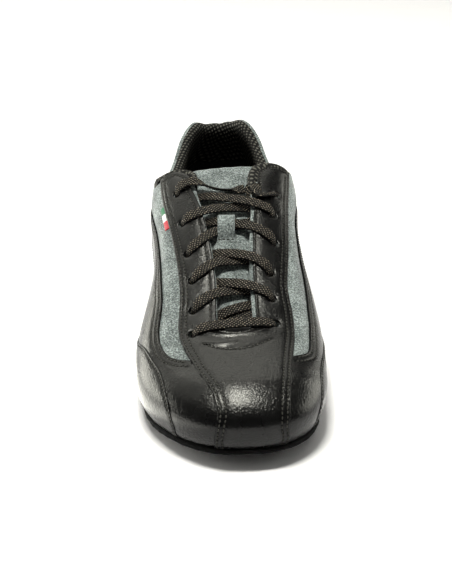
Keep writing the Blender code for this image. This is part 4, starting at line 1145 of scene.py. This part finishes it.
@material("braided_polyester_black", "UV", {"Roughness": 0.62, "Specular IOR Level": 0.12})
def braided_lace(node, surface, where):
    """Flat tubular braid of black polyester yarn.

    The eye gets rows of small staggered threads along the lace, each with a painted highlight
    on its crown, about 1.5 mm apart and drawn a little coarse so that they show.
    """
    flat = node("Mapping", {"Vector": where, "Scale": (1.0, 1.25, 1.0)})
    slanted = node("Mapping", {"Vector": flat.outputs["Vector"],
                               "Rotation": (0.0, 0.0, math.radians(45))})
    thread = node("TexVoronoi", {"Vector": slanted.outputs["Vector"], "Scale": 1 / 1.5,
                                 "Randomness": 0.1}, voronoi_dimensions="2D")
    crown = node("MapRange", {"Value": thread.outputs["Distance"], "From Min": 0.3,
                              "From Max": 0.08}, interpolation_type="SMOOTHSTEP").outputs["Result"]
    uneven = node("TexNoise", {"Vector": where, "Scale": 0.55, "Detail": 2.0})
    share = node("MapRange", {"Value": uneven.outputs["Fac"], "From Min": 0.35, "From Max": 0.65,
                              "To Min": 0.15, "To Max": 1.0})
    # The pale crowns are a painted highlight on the lace's threads
    lit = node("Math", {0: crown, 1: share.outputs["Result"]}, operation="MULTIPLY")
    node("Mix", {"A": colour("lace"), "B": colour("lace_painted_highlight"), "Factor": lit.outputs["Value"]},
         ("Result", surface["Base Color"]), data_type="RGBA")
    node("Bump", {"Height": crown, "Strength": 0.9, "Distance": 0.00035},
         ("Normal", surface["Normal"]))


@material("bonded_nylon_thread_black", "Object", {"Roughness": 0.6, "Specular IOR Level": 0.08})
def sewing_thread(node, surface, where):
    """Bonded nylon thread: a dull twisted black cord, a little paler than the leather, that paleness
    partly a painted glint.
    """
    # The grey is partly the thread's own and partly a painted glint on the stitches
    black = colour("thread")
    twist = node("TexNoise", {"Vector": where, "Scale": 1 / 0.0005, "Detail": 1.0})
    node("Mix", {"A": black, "B": paler(black, 3), "Factor": twist.outputs["Fac"]},
         ("Result", surface["Base Color"]), data_type="RGBA")


@material("sole_rubber_roughed_black", "Object", {"Roughness": 0.95, "Specular IOR Level": 0.12})
def sole_rubber(node, surface, where):
    """Microcellular sole rubber with a roughed, buffed edge: dull black with a fine fuzz."""
    black = colour("sole")
    grit = node("TexNoise", {"Vector": where, "Scale": 1 / 0.0008, "Detail": 4.0,
                             "Roughness": 0.7}).outputs["Fac"]
    node("Mix", {"A": black, "B": paler(black, 2.4), "Factor": grit},
         ("Result", surface["Base Color"]), data_type="RGBA")
    node("Bump", {"Height": grit, "Strength": 0.8, "Distance": 0.0006},
         ("Normal", surface["Normal"]))


@material("woven_ribbon_three_bands", "UV", {"Roughness": 0.75, "Sheen Weight": 0.2})
def woven_tab(node, surface, where):
    """Woven polyester ribbon in three bands: green, white and red, with fine cross threads."""
    split = node("SeparateXYZ", {"Vector": where})
    bands = node("ValToRGB", {"Fac": split.outputs["X"]}, ("Color", surface["Base Color"]))
    bands.color_ramp.interpolation = "CONSTANT"
    set_stops(bands.color_ramp, ((0.0, opaque("#b3202e")), (0.36, opaque("#e9e9e4")),
                                 (0.68, opaque("#1f6e45"))))
    thread = node("TexWave", {"Vector": where, "Scale": 9.0, "Distortion": 0.3})
    node("Bump", {"Height": thread.outputs["Fac"], "Strength": 0.4, "Distance": 0.0002},
         ("Normal", surface["Normal"]))


@material("studio_board_white", "Object", {"Roughness": 0.9, "Specular IOR Level": 0.1})
def floor_paint(node, surface, where):
    """Matt white studio board, lightly speckled."""
    speck = node("TexNoise", {"Vector": where, "Scale": 30.0})
    node("Mix", {"A": colour("floor"), "B": (0.93, 0.93, 0.92, 1.0),
                 "Factor": speck.outputs["Fac"]},
         ("Result", surface["Base Color"]), data_type="RGBA")


# Lace
def lace_mesh(runs, name):
    """Flat laces swept along runs of (points, normals, widths, thicknesses), in one mesh."""
    points = []
    faces = []
    uv = []
    turn = np.linspace(0, 2 * math.pi, LACE_RING, endpoint=False)
    across = np.sign(np.cos(turn)) * np.abs(np.cos(turn)) ** LACE_POWERS[0] / 2
    upward = np.sign(np.sin(turn)) * np.abs(np.sin(turn)) ** LACE_POWERS[1] / 2
    for line, normals, widths, thick in runs:
        tangent = unit(np.gradient(line, axis=0))
        sideways = unit(np.cross(tangent, normals))
        raised = np.cross(sideways, tangent)
        faces += tube_faces(len(line), LACE_RING, len(points))
        for i, along in enumerate(run_along(line)):
            points += list(line[i] + sideways[i] * (across * widths[i])[:, None]
                           + raised[i] * (upward * thick[i])[:, None])
            uv += [(along, a * size_mm("lace_width")) for a in across]
    return add_piece(name, points, faces, [braided_lace()], uv=uv, smooth_angle=60)


def lace_run(rows, holes, turns=((0, 0), (1, 0))):
    """Lace along chart rows; narrow within a few mm of the holes named by their points."""
    fine = even_line(rounded(rows, 12), 0.9)
    points, normals = on_skin(fine[:, :2])
    points = eased(points + normals * fine[:, 2:3], 2)
    tangent = unit(np.gradient(points, axis=0))
    # Where the lace rises through a hole its flat side faces along the run
    normals = unit(normals - tangent * (normals * tangent).sum(1)[:, None])
    share = np.linspace(0, 1, len(points))
    angle = np.radians(np.interp(share, *np.array(turns, float).T))[:, None]
    normals = normals * np.cos(angle) + np.cross(tangent, normals) * np.sin(angle)
    near = np.min([np.linalg.norm(points - hole, axis=1) for hole in holes], axis=0)
    wide = fade((near - 0.5) / LACE_PINCH_REACH)
    widths = size_mm("lace_width") * (LACE_PINCH + (1 - LACE_PINCH) * wide)
    thick = size_mm("lace_thick") * (LACE_BUNCH - (LACE_BUNCH - 1) * wide)
    return points, normals, widths, thick


class SNEAKER_OT_stage(bpy.types.Operator):
    """Floor, soft studio lights and the camera at the photograph's angle"""
    bl_idname = "sneaker.stage"
    bl_label = "Stage"

    def execute(self, context):
        bpy.ops.object.select_all(action="DESELECT")
        bpy.ops.mesh.primitive_plane_add(size=8.0)
        floor = context.active_object
        floor.name = "studio_floor"
        bpy.ops.object.mode_set(mode="EDIT")
        bpy.ops.mesh.subdivide(number_cuts=4)
        bpy.ops.object.mode_set(mode="OBJECT")
        floor.data.materials.append(floor_paint())

        world = bpy.data.worlds.new("studio")
        context.scene.world = world
        world.use_nodes = True
        back = world.node_tree.nodes["Background"]
        back.inputs["Color"].default_value = (1.0, 1.0, 0.99, 1.0)
        back.inputs["Strength"].default_value = 0.05

        # name, place, aim, width, height, power in watts, and whether it shows in the gloss alone
        lights = (
            ("key_light", (-0.12, -0.08, 1.15), (-0.12, -0.085, 0.0), 0.34, 0.1, 14.8, False),
            ("left_fill", (-1.25, 0.55, 0.3), (0.0, -0.02, 0.03), 1.3, 0.6, 18.0, False),
            ("right_fill", (1.3, 0.4, 0.3), (0.0, -0.02, 0.03), 0.8, 0.7, 5.0, False),
            ("back_fill", (-0.1, 1.3, 1.2), (0.0, -0.05, 0.04), 1.5, 0.7, 3.5, False),
            ("floor_wash", (0.4, 1.7, 1.7), (0.4, 1.2, 0.0), 3.0, 1.6, 27.0, False),
            ("ceiling_fill", (0.0, 0.2, 2.4), (0.0, 0.1, 0.0), 4.5, 4.5, 9.0, False),
            ("top_box", (0.012, -0.03, 1.15), (0.012, -0.13, 0.0), 0.13, 0.36, 13.0, True),
            ("left_panel", (-1.17, 0.42, 0.27), (0.0, -0.05, 0.03), 1.0, 0.6, 23.0, True),
            ("front_card", (-0.17, -0.19, 0.002), (-0.17, -0.18, 1.0), 0.25, 0.12, 0.15, True),
            ("left_card", (-0.2, -0.085, 0.002), (-0.2, -0.075, 1.0), 0.3, 0.1, 0.34, True),
            ("upper_left", (-0.8, 0.55, 1.1), (0.0, -0.05, 0.04), 0.9, 0.9, 3.6, True),
            ("back_panel", (-0.1, 1.0, 1.12), (-0.08, -0.08, 0.04), 1.3, 0.7, 7.3, True),
            ("right_panel", (1.15, 0.3, 0.36), (0.0, -0.1, 0.03), 1.1, 0.72, 11.5, True),
        )
        for name, place, aim, width, height, power, gloss in lights:
            lamp = bpy.data.lights.new(name, "AREA")
            lamp.shape = "RECTANGLE"
            lamp.size = width
            lamp.size_y = height
            lamp.energy = power
            lamp.color = (1.0, 0.99, 0.88) if gloss else (1.0, 0.985, 0.95)
            holder = bpy.data.objects.new(name, lamp)
            context.scene.collection.objects.link(holder)
            holder.location = place
            holder.rotation_euler = (Vector(aim) - Vector(place)).to_track_quat(
                "-Z", "Y").to_euler()
            holder.visible_glossy = gloss
            holder.visible_diffuse = not gloss
            holder.visible_camera = False

        forward = Vector((math.sin(CAMERA_YAW) * math.cos(CAMERA_PITCH),
                          math.cos(CAMERA_YAW) * math.cos(CAMERA_PITCH),
                          -math.sin(CAMERA_PITCH)))
        right = Vector((math.cos(CAMERA_YAW), -math.sin(CAMERA_YAW), 0.0))
        up = right.cross(forward)
        level = math.cos(CAMERA_ROLL)
        tilt = math.sin(CAMERA_ROLL)
        right, up = level * right + tilt * up, -tilt * right + level * up
        lens = bpy.data.cameras.new("photo_camera")
        lens.sensor_width = SENSOR
        lens.lens = FOCAL_PIXELS * SENSOR / PICTURE_HEIGHT
        lens.clip_start = 0.01
        camera = bpy.data.objects.new("photo_camera", lens)
        context.scene.collection.objects.link(camera)
        turn = Matrix((right, up, -forward)).transposed().to_4x4()
        camera.matrix_world = Matrix.Translation(Vector(CAMERA_AT) * 0.001) @ turn
        context.scene.camera = camera
        context.scene.view_settings.view_transform = "Standard"
        return {"FINISHED"}


class SNEAKER_OT_laces(bpy.types.Operator):
    """Flat lace: the straight bar, five crossings and the two tucked ends"""
    bl_idname = "sneaker.laces"
    bl_label = "Laces"

    def execute(self, context):
        hole = {side: [lifted(np.array([to_chart(float(side), *row)]), -1.0)[0]
                       for row in HOLES[side]] for side in SIDES}
        run = lace_run(LACE_BAR, (hole[-1][0], hole[1][0]))
        finish_piece(lace_mesh([run], "braided_lace_bar"), "lace", "lace_bar")
        for row, strands in LACE_STRANDS.items():
            runs = [lace_run(strands[side], (hole[side][row - 1], hole[-side][row]))
                    for side in SIDES]
            finish_piece(lace_mesh(runs, "braided_lace_crossing_%d" % row), "lace",
                         "lace_cross_%d" % row)
        for side, word in SIDE_WORDS.items():
            run = lace_run(LACE_ENDS[side], (hole[side][-1],), LACE_END_TURN[side])
            piece = finish_piece(lace_mesh([run], "braided_lace_end_" + word), "lace",
                                 "lace_end_" + word)
        return {"FINISHED"}


# Sole and insole
def plan_edge(side, s, margin):
    """Plan points of the feather line moved outward by margin."""
    points = raw_point(side, s, np.full(len(s), -90.0))
    ridge_x, ridge_y, wide_x, wide_y = section_frame(side, s)
    return points[:, :2] + unit(np.stack([wide_x - ridge_x, wide_y - ridge_y], -1)) * margin


def nearest_side(plan):
    """Distance of plan points to the outline of the sole."""
    s = np.linspace(0, LENGTH, 500)
    rim = np.vstack([plan_edge(np.full(500, side), s, SOLE_MARGIN) for side in (-1.0, 1.0)])
    return nearest(plan, rim)


def feather_height(plan):
    return size_at("feather_z", np.clip(plan[:, 1] + CENTRE_Y, 0, LENGTH))


def sole_under(plan):
    """Underside of the sole, thin at the toe and of full wall from the ball on."""
    share = fade((plan[:, 1] + CENTRE_Y - SOLE_THIN_TO) / SOLE_THIN_REACH)
    wall = SOLE_TOE + (SOLE_WALL - SOLE_TOE) * share
    return np.maximum(0.0, feather_height(plan) - SOLE_GAP - wall)


def tread(plan):
    """Depth of the shallow herringbone grooves, clear of the rim."""
    zigzag = np.abs(((plan[:, 0] + 60) % TREAD_ZIGZAG) - TREAD_ZIGZAG / 2)
    wave = (plan[:, 1] + TREAD_SLANT * zigzag) / TREAD_PITCH
    cut = np.clip(TREAD_HALF - np.abs(wave % 1 - 0.5), 0, TREAD_WALL) / TREAD_WALL
    return TREAD_DEPTH * cut * fade((nearest_side(plan) - TREAD_CLEAR) / 2.0)


def end_stations(count):
    """Stations along the shoe that crowd towards both ends."""
    return LENGTH / 2 * (1 - np.cos(np.linspace(0, math.pi, count)))


def slab(name, stations, margin, top, bottom, levels, across, materials, fuzz=0.0):
    """Closed slab over the outline of the last, with a profiled side.

    top and bottom are heights as functions of plan points; levels are (share from top to
    bottom, change of margin) rows of the side.
    """
    rng = np.random.default_rng(11)
    count = len(stations)
    edge = {}
    for j, (share, change) in enumerate(levels):
        for side in SIDES:
            plan = plan_edge(np.full(count, float(side)), stations, margin + change)
            if 0 < j < len(levels) - 1:
                plan = plan + rng.uniform(-fuzz, fuzz, plan.shape)
            high = top(plan) + (bottom(plan) - top(plan)) * share
            edge[side, j] = np.column_stack([plan, high])
    points = []
    index = {}

    def put(key, point):
        index[key] = len(points)
        points.append(point)

    last = len(levels) - 1
    for i in range(count):
        pinched = np.linalg.norm(edge[-1, 0][i] - edge[1, 0][i]) < 2.0
        for j in range(len(levels)):
            left = edge[-1, j][i]
            right = edge[1, j][i]
            if pinched:
                put((i, j, 0), (left + right) / 2)
                for k in range(1, across + 1):
                    index[i, j, k] = index[i, j, 0]
                continue
            put((i, j, 0), left)
            put((i, j, across), right)
            if j in (0, last):
                rule = top if j == 0 else bottom
                for k in range(1, across):
                    spot = left + (right - left) * k / across
                    spot[2] = rule(spot[None, :2])[0]
                    put((i, j, k), spot)
    faces = []

    def face(*keys):
        corners = []
        for key in keys:
            if index[key] not in corners:
                corners.append(index[key])
        if len(corners) > 2:
            faces.append(corners)

    for i in range(count - 1):
        for k in range(across):
            face((i, 0, k), (i, 0, k + 1), (i + 1, 0, k + 1), (i + 1, 0, k))
            face((i, last, k), (i + 1, last, k), (i + 1, last, k + 1), (i, last, k + 1))
        for j in range(last):
            face((i, j, 0), (i + 1, j, 0), (i + 1, j + 1, 0), (i, j + 1, 0))
            face((i, j, across), (i, j + 1, across), (i + 1, j + 1, across),
                 (i + 1, j, across))
    for i, way in ((0, 1), (count - 1, -1)):
        if index[i, 0, 0] == index[i, 0, across]:
            continue
        rim = [(i, 0, k) for k in range(across + 1)]
        rim += [(i, j, across) for j in range(1, last)]
        rim += [(i, last, k) for k in range(across, -1, -1)]
        rim += [(i, j, 0) for j in range(last - 1, 0, -1)]
        face(*rim[::-way])
    return add_piece(name, np.array(points), faces, materials, smooth_angle=40)


class SNEAKER_OT_sole(bpy.types.Operator):
    """Thin black outsole with a roughed edge, and the low heel under it"""
    bl_idname = "sneaker.sole"
    bl_label = "Sole and heel"

    def execute(self, context):
        ends = end_stations(60)
        middle = np.arange(END_RUN, LENGTH - END_RUN, 1.25)
        near = END_RUN - 0.6
        stations = np.concatenate([ends[ends < near], middle, ends[ends > LENGTH - near]])
        sole = slab("sole_outsole", stations, SOLE_MARGIN,
                    lambda plan: feather_height(plan) - SOLE_SEAT,
                    lambda plan: sole_under(plan) + tread(plan), OUTSOLE_SIDE, 26,
                    [sole_rubber()], fuzz=0.22)
        finish_piece(sole, "sole", "outsole")
        back = np.concatenate([[HEEL_BREAST], stations[stations > HEEL_BREAST + 0.6]])
        heel = slab("sole_heel", back, SOLE_MARGIN - 0.5,
                    lambda plan: sole_under(plan) - SOLE_SEAT,
                    lambda plan: np.zeros(len(plan)), HEEL_SIDE, 14, [sole_rubber()], fuzz=0.12)
        finish_piece(heel, "heel", "heel")
        return {"FINISHED"}


class SNEAKER_OT_insole(bpy.types.Operator):
    """Cloth-covered insole with a slightly cupped edge"""
    bl_idname = "sneaker.insole"
    bl_label = "Insole"

    def execute(self, context):
        stations = np.unique(np.concatenate([end_stations(40),
                                             np.arange(20.0, LENGTH - 20.0, 5.0)]))

        def top(plan):
            rim = fade(1 - (nearest_side(plan) - INSOLE_CUP_FROM) / INSOLE_CUP_REACH)
            return feather_height(plan) + INSOLE_WALL - INSOLE_DISH + INSOLE_CUP * rim

        insole = slab("insole_cloth", stations, SHELL_IN - 0.7, top,
                      lambda plan: feather_height(plan) + SOLE_SEAT, INSOLE_SIDE, 12,
                      [lining_cloth()])
        finish_piece(insole, "insole", "insole")
        return {"FINISHED"}


class SNEAKER_OT_upper(bpy.types.Operator):
    """Grey suede shell of the upper, lined inside and open at collar and throat"""
    bl_idname = "sneaker.upper"
    bl_label = "Suede upper"

    def execute(self, context):
        covers = [CUT["eyestay_loop"]]
        edges = [CUT["around"]]
        rows = []
        for side in SIDES:
            covers += [CUT["wing_loop"][side], CUT["foxing_loop"][side]]
            edges += [CUT["centre"][side], CUT["suede"][side], CUT["foxing"][side]]
            rows += beside(CUT["suede"][side], side, SUEDE_NET_ROWS)
            rows += beside(CUT["centre"][side], -side, SUEDE_NET_ROWS)
        opening = closed(CUT["opening"])
        rows += [row[:-1] for row in beside(opening, -1, RIM_NET_ROWS)]
        loops = [CUT["sole"], CUT["opening"]] + all_holes(0.1)
        net = net_of(loops, rows, size_mm("net_step") * 1.15)
        hidden = np.any([inside(net[0], cover) for cover in covers], axis=0)
        line = skin_lines(*edges, step=0.6)
        rim = skin_lines(opening)

        def outside(points):
            from_rim = nearest(points, rim)
            swell = (size_mm("suede_puff") * fade(nearest(points, line) / PUFF_REACH)
                     * fade(from_rim / PUFF_RIM_REACH))
            high = SUEDE_TOP + np.where(hidden, 0.0, swell)
            return high + edge_drop(from_rim * 0.7, 0.8)

        def inner(points):
            return SHELL_IN - edge_drop(nearest(points, rim) * 0.7, 0.7)

        shell = panel("suede_upper", net, outside, inner, [grey_suede(), lining_cloth()])
        finish_piece(shell, "suede", "upper")
        return {"FINISHED"}


class SNEAKER_OT_leather(bpy.types.Operator):
    """Black leather panels: toe strip with eyestays, wings and lower foxing"""
    bl_idname = "sneaker.leather"
    bl_label = "Leather panels"

    def execute(self, context):
        heights = height_maps()

        def cover(name, loops, stitches, edges, height, more_rows=()):
            """One panel; edges are (cut edge, side of it on which the panel lies)."""
            rows = [row for line in stitches for row in beside(line, 1, STITCH_NET_ROWS)]
            for line, way in edges:
                rows += beside(line, way, EDGE_NET_ROWS)
            net = net_of(loops, rows + list(more_rows), size_mm("net_step"))
            piece = panel("leather_" + name, net, height, heights["under"], [black_leather()],
                          stitches + [line for line, _ in edges])
            finish_piece(piece, "leather", name)

        rows = []
        for points, _, width in RIDGES + CREASES[-1:]:
            rows += beside(smooth_line(points), width, FOLD_NET_ROWS)
        rows += [closed(loop) for grow in HOLE_NET_ROWS for loop in all_holes(grow)]
        edges = [(CUT["around"], 1)] + [(CUT["centre"][side], side) for side in SIDES]
        cover("vamp_eyestay", [CUT["eyestay_loop"]] + all_holes(), STITCHES["eyestay"], edges,
              heights["eyestay"], rows)
        for side, word in SIDE_WORDS.items():
            for part, edge in (("wing", "suede"), ("foxing", "foxing")):
                name = part + "_" + word
                cover(name, [CUT[part + "_loop"][side]], STITCHES[part][side],
                      [(CUT[edge][side], -side)], heights[name])
        return {"FINISHED"}


# Cross-section of the padded collar. Lip and edge rows: (share of the lip's depth, depth below
# the edge, height above the skin) at the tabs, then (depth, height) along the collar.
LINING_LIP = (
    ((1.0, 0.0, -1.24), (0.45, -3.9)), ((0.85, 0.0, -0.75), (0.05, -3.5)),
    ((0.6, 0.0, -0.3), (-0.4, -3.35)), ((0.3, 0.0, -0.15), (-0.8, -3.5)),
    ((0.05, 0.0, -0.35), (-1.1, -3.9)), ((0.0, -0.7, -1.0), (-1.3, -4.6)),
    ((0.0, -1.3, -2.4), (-1.3, -5.5)), ((0.0, -1.6, -4.0), (-1.0, -6.5)),
    ((0.0, -1.4, -5.6), (-0.3, -7.4)), ((0.0, -0.4, -7.0), (0.9, -8.2)),
    ((0.0, 1.4, -8.0), (2.6, -8.8)))
LINING_PAD = ((5.0, -9.1), (8.5, -9.3), (12.0, -9.1), (16.5, -8.3), (21.0, -7.2), (25.0, -6.0),
              (28.5, -4.8), (28.0, -4.35), (16.0, -4.35), (4.0, -4.35))
LINING_EDGE = (
    ((0.0, 0.4, -4.25), (0.6, -4.35)), ((0.0, -0.2, -3.9), (0.3, -4.3)),
    ((0.0, -0.25, -2.6), (0.25, -4.22)), ((0.0, -0.05, -1.4), (0.35, -4.15)),
    ((0.9, 0.0, -1.32), (0.5, -4.05)))
LINING_RIM = 5             # the lip row that runs along the top of the roll
LINING_FROM = 150.0        # chart y where the lining starts on both sides
LINING_TAB_TO = 170        # station where the rows of the tabs start to turn into the collar's
LINING_TAB_REACH = 16
LINING_LIP_MOST = 9.0
LINING_SEAT = -4.4         # just inside the shell, from where the pad swells inward


class SNEAKER_OT_lining(bpy.types.Operator):
    """Padded mesh lining that rolls over the collar edge"""
    bl_idname = "sneaker.lining"
    bl_label = "Collar lining"

    def execute(self, context):
        opening = CUT["opening"]
        after = np.where(opening[:, 1] > LINING_FROM)[0]
        line = even_line(opening[after[0]:after[-1] + 1], 1.4)
        count = len(line)
        share = np.linspace(0, 1, count)
        ends = np.minimum(share, 1 - share) * 2
        deep = 0.22 + 0.78 * fade((ends - 0.10) / 0.30)
        begin = 0.3 + 0.7 * fade(ends / 0.03)
        tab = 1 - fade((from_chart(line)[1] - LINING_TAB_TO) / LINING_TAB_REACH)
        leather = nearest(on_skin(line)[0], skin_lines(CUT["around"]))
        lip = (np.minimum(leather, LINING_LIP_MOST) + 0.5) * begin
        rings = []
        for row in LINING_LIP + LINING_PAD + LINING_EDGE:
            if row in LINING_PAD:
                reach = row[0] * deep
                level = np.full(count, row[1])
                passes = 6
            else:
                (part, depth, height), (back_depth, back_height) = row
                reach = tab * (part * lip + depth) + (1 - tab) * back_depth
                level = tab * height + (1 - tab) * back_height
                passes = 3
            thin = LINING_SEAT + (level - LINING_SEAT) * (0.35 + 0.65 * deep) * begin
            rings.append(lifted(eased(shifted(line, -reach), passes),
                                np.where(level < LINING_SEAT, thin, level)))
        rings = np.array(rings)
        # The dots keep one lattice in the flat cloth: across by the run of the edge on the
        # ground, down by the edge's height less the way over the roll
        rim = rings[LINING_RIM]
        run = run_along(rim[:, :2])
        steps = np.linalg.norm(np.diff(rings, axis=0), axis=2).mean(1)
        fall = np.concatenate([[0], np.cumsum(steps)])
        uv = [(run[i], rim[i, 2] - down + fall[LINING_RIM]) for i in range(count) for down in fall]
        points = rings.transpose(1, 0, 2).reshape(-1, 3)
        piece = add_piece("mesh_collar_lining", points, tube_faces(count, len(rings), flip=True),
                          [mesh_lining()], uv=uv, smooth_angle=70)
        finish_piece(piece, "mesh", "collar_lining")
        return {"FINISHED"}


def keeper_mesh(name, thick, materials):
    """Strap over the tongue along the rows of the keeper loop, with rounded long edges."""
    fine = even_line(rounded(KEEPER, 10), 0.7)
    line = lifted(np.column_stack([np.full(len(fine), KEEPER_MIDDLE), fine[:, 0]]), fine[:, 1])
    tangent = unit(np.gradient(line, axis=0))
    across = unit(np.array([1.0, 0.0, 0.0]) - tangent * tangent[:, :1])
    upward = np.cross(across, tangent)
    points = []
    for p, a, u, width in zip(line, across, upward, fine[:, 2]):
        points += [p + a * x * width + u * z * thick for x, z in KEEPER_RING]
    return add_piece(name, points, tube_faces(len(line), len(KEEPER_RING)), materials,
                     smooth_angle=60)


class SNEAKER_OT_tongue(bpy.types.Operator):
    """Suede tongue with its keeper loop for the lace"""
    bl_idname = "sneaker.tongue"
    bl_label = "Tongue"

    def execute(self, context):
        left, right = ([to_chart(float(side), row[0], angle_at_x(float(side), row[0], row[column]))
                        for row in TONGUE_EDGE] for side, column in ((-1, 1), (1, 2)))
        top = [to_chart(-1.0, TONGUE_TOP - 2.5, angle_at_x(-1.0, TONGUE_TOP, -19.0)),
               to_chart(1.0, TONGUE_TOP + 0.5, 90.0),
               to_chart(1.0, TONGUE_TOP + 1.5, angle_at_x(1.0, TONGUE_TOP, 24.0))]
        loop = join_lines([smooth_line(left + top + right[::-1]),
                           smooth_line([right[0], left[0]])])
        ring = closed(loop)
        turned = 1 if np.sum(ring[:-1, 0] * ring[1:, 1] - ring[1:, 0] * ring[:-1, 1]) > 0 else -1
        rows = [row[:-1] for row in beside(ring, turned, TONGUE_NET_ROWS)]
        net = net_of([loop], rows, size_mm("net_step"))
        rim = skin_lines(ring)
        edge = skin_lines(closed(CUT["opening"]))
        open_here = inside(net[0], CUT["opening"])

        def level(points):
            far = nearest(points, edge) * np.where(open_here, 1, -1)
            rise = fade((far + TONGUE_TUCK) / TONGUE_RISE_REACH)
            return TONGUE_UNDER_OFFSET + (TONGUE_TOP_OFFSET - TONGUE_UNDER_OFFSET) * rise

        def rim_drop(points):
            return edge_drop(nearest(points, rim) * 0.5, 1.1)

        piece = panel("suede_tongue", net, lambda points: level(points) + rim_drop(points),
                      lambda points: level(points) - TONGUE_WALL - rim_drop(points),
                      [grey_suede(), lining_cloth()])
        # The tongue's toe end takes the black lining cloth: painted shade under the throat and the
        # lace bar
        for i in np.where(net[0][net[1]].mean(1)[:, 1] < TONGUE_SHADE_CLOTH_TO)[0]:
            piece.data.polygons[int(i)].material_index = 1
        finish_piece(piece, "suede", "tongue")
        keeper = keeper_mesh("suede_lace_keeper", KEEPER_THICK, [grey_suede()])
        finish_piece(keeper, "suede", "tongue_lace_loop")
        return {"FINISHED"}


def stitch_seed():
    """One stitch of unit length along x: a thread that dips into the leather at both ends."""
    turns = np.linspace(0, 2 * math.pi, STITCH_SIDES, endpoint=False)
    points = [(x, 0.5 * size * math.cos(turn), 0.5 * (z + size * math.sin(turn)))
              for x, size, z in STITCH_RINGS for turn in turns]
    return np.array(points), tube_faces(len(STITCH_RINGS), STITCH_SIDES)


def stitch_places(row, height):
    """Middle, direction and normal of each stitch on a chart row."""
    base, normal = on_skin(even_line(row, 0.25))
    line = base + normal * height(base)[:, None]
    run = run_along(line)
    count = int(run[-1] / size_mm("stitch_pitch"))
    at = (np.arange(count) + 0.5) * run[-1] / max(count, 1)
    way = unit(sampled(at + 0.4, run, line) - sampled(at - 0.4, run, line))
    up = sampled(at, run, normal)
    return sampled(at, run, line), way, unit(up - way * (up * way).sum(1)[:, None])


class SNEAKER_OT_stitching(bpy.types.Operator):
    """Stitch rows on the leather seams and on the keeper loop"""
    bl_idname = "sneaker.stitching"
    bl_label = "Stitching"

    def execute(self, context):
        heights = height_maps()
        heights["keeper"] = lambda points: np.full(len(points), KEEPER_STITCH_HEIGHT)
        groups = {"eyestay": STITCHES["eyestay"]}
        for side, word in SIDE_WORDS.items():
            for part in ("wing", "foxing"):
                groups[part + "_" + word] = STITCHES[part][side]
        groups["keeper"] = [np.array(KEEPER_STITCH)]
        seed, seed_faces = stitch_seed()
        long = size_mm("stitch_length")
        wide = size_mm("stitch_width")
        for name, rows in groups.items():
            points = []
            faces = []
            for row in rows:
                for middle, way, up in zip(*stitch_places(row, heights[name])):
                    side = np.cross(up, way)
                    first = len(points)
                    points += list(middle + way * seed[:, :1] * long + side * seed[:, 1:2] * wide
                                   + up * (seed[:, 2:3] * wide * 0.8 + STITCH_STAND))
                    faces += [tuple(first + i for i in face) for face in seed_faces]
            piece = add_piece("stitching_" + name, points, faces, [sewing_thread()],
                              smooth_angle=60)
            finish_piece(piece, "leather")
        return {"FINISHED"}


class SNEAKER_OT_side_tab(bpy.types.Operator):
    """Small woven tab sewn into the lateral eyestay seam"""
    bl_idname = "sneaker.side_tab"
    bl_label = "Side tab"

    def execute(self, context):
        seam_line = CUT["centre"][-1]
        s = from_chart(seam_line)[1]
        part = even_line(seam_line[(s > TAB_FROM) & (s < TAB_TO)], 0.6)
        rings = np.array([lifted(shifted(part, out), height) for out, height in TAB_PROFILE])
        count = len(part)
        size = len(TAB_PROFILE)
        uv = [(i / (count - 1), k / size) for i in range(count) for k in range(size)]
        piece = add_piece("woven_side_tab", rings.transpose(1, 0, 2).reshape(-1, 3),
                          tube_faces(count, size), [woven_tab()], uv=uv)
        finish_piece(piece, "tab", "side_tab")
        return {"FINISHED"}


class SNEAKER_PT_pieces(bpy.types.Panel):
    """Sizes, colours and pieces of the sneaker"""
    bl_idname = "SNEAKER_PT_pieces"
    bl_label = "Dance sneaker"
    bl_space_type = "VIEW_3D"
    bl_region_type = "UI"
    bl_category = "Sneaker"

    def draw(self, context):
        layout = self.layout
        for group in (context.scene.sneaker_sizes, context.scene.sneaker_colours):
            box = layout.box()
            for name in group.__annotations__:
                box.prop(group, name)
        for operator in OPERATORS:
            layout.operator(operator.bl_idname)


OPERATORS = (SNEAKER_OT_stage, SNEAKER_OT_laces, SNEAKER_OT_sole, SNEAKER_OT_insole,
             SNEAKER_OT_upper, SNEAKER_OT_leather, SNEAKER_OT_lining, SNEAKER_OT_tongue,
             SNEAKER_OT_stitching, SNEAKER_OT_side_tab)
CLASSES = (SneakerSizes, SneakerColours, *OPERATORS, SNEAKER_PT_pieces)


def register():
    for cls in CLASSES:
        bpy.utils.register_class(cls)
    bpy.types.Scene.sneaker_sizes = PointerProperty(type=SneakerSizes)
    bpy.types.Scene.sneaker_colours = PointerProperty(type=SneakerColours)


def unregister():
    del bpy.types.Scene.sneaker_colours
    del bpy.types.Scene.sneaker_sizes
    for cls in reversed(CLASSES):
        bpy.utils.unregister_class(cls)


def main():
    register()
    bpy.ops.sneaker.stage()
    bpy.ops.sneaker.laces()
    bpy.ops.sneaker.sole()
    bpy.ops.sneaker.insole()
    bpy.ops.sneaker.upper()
    bpy.ops.sneaker.leather()
    bpy.ops.sneaker.lining()
    bpy.ops.sneaker.tongue()
    bpy.ops.sneaker.stitching()
    bpy.ops.sneaker.side_tab()


if __name__ == "__main__":
    main()
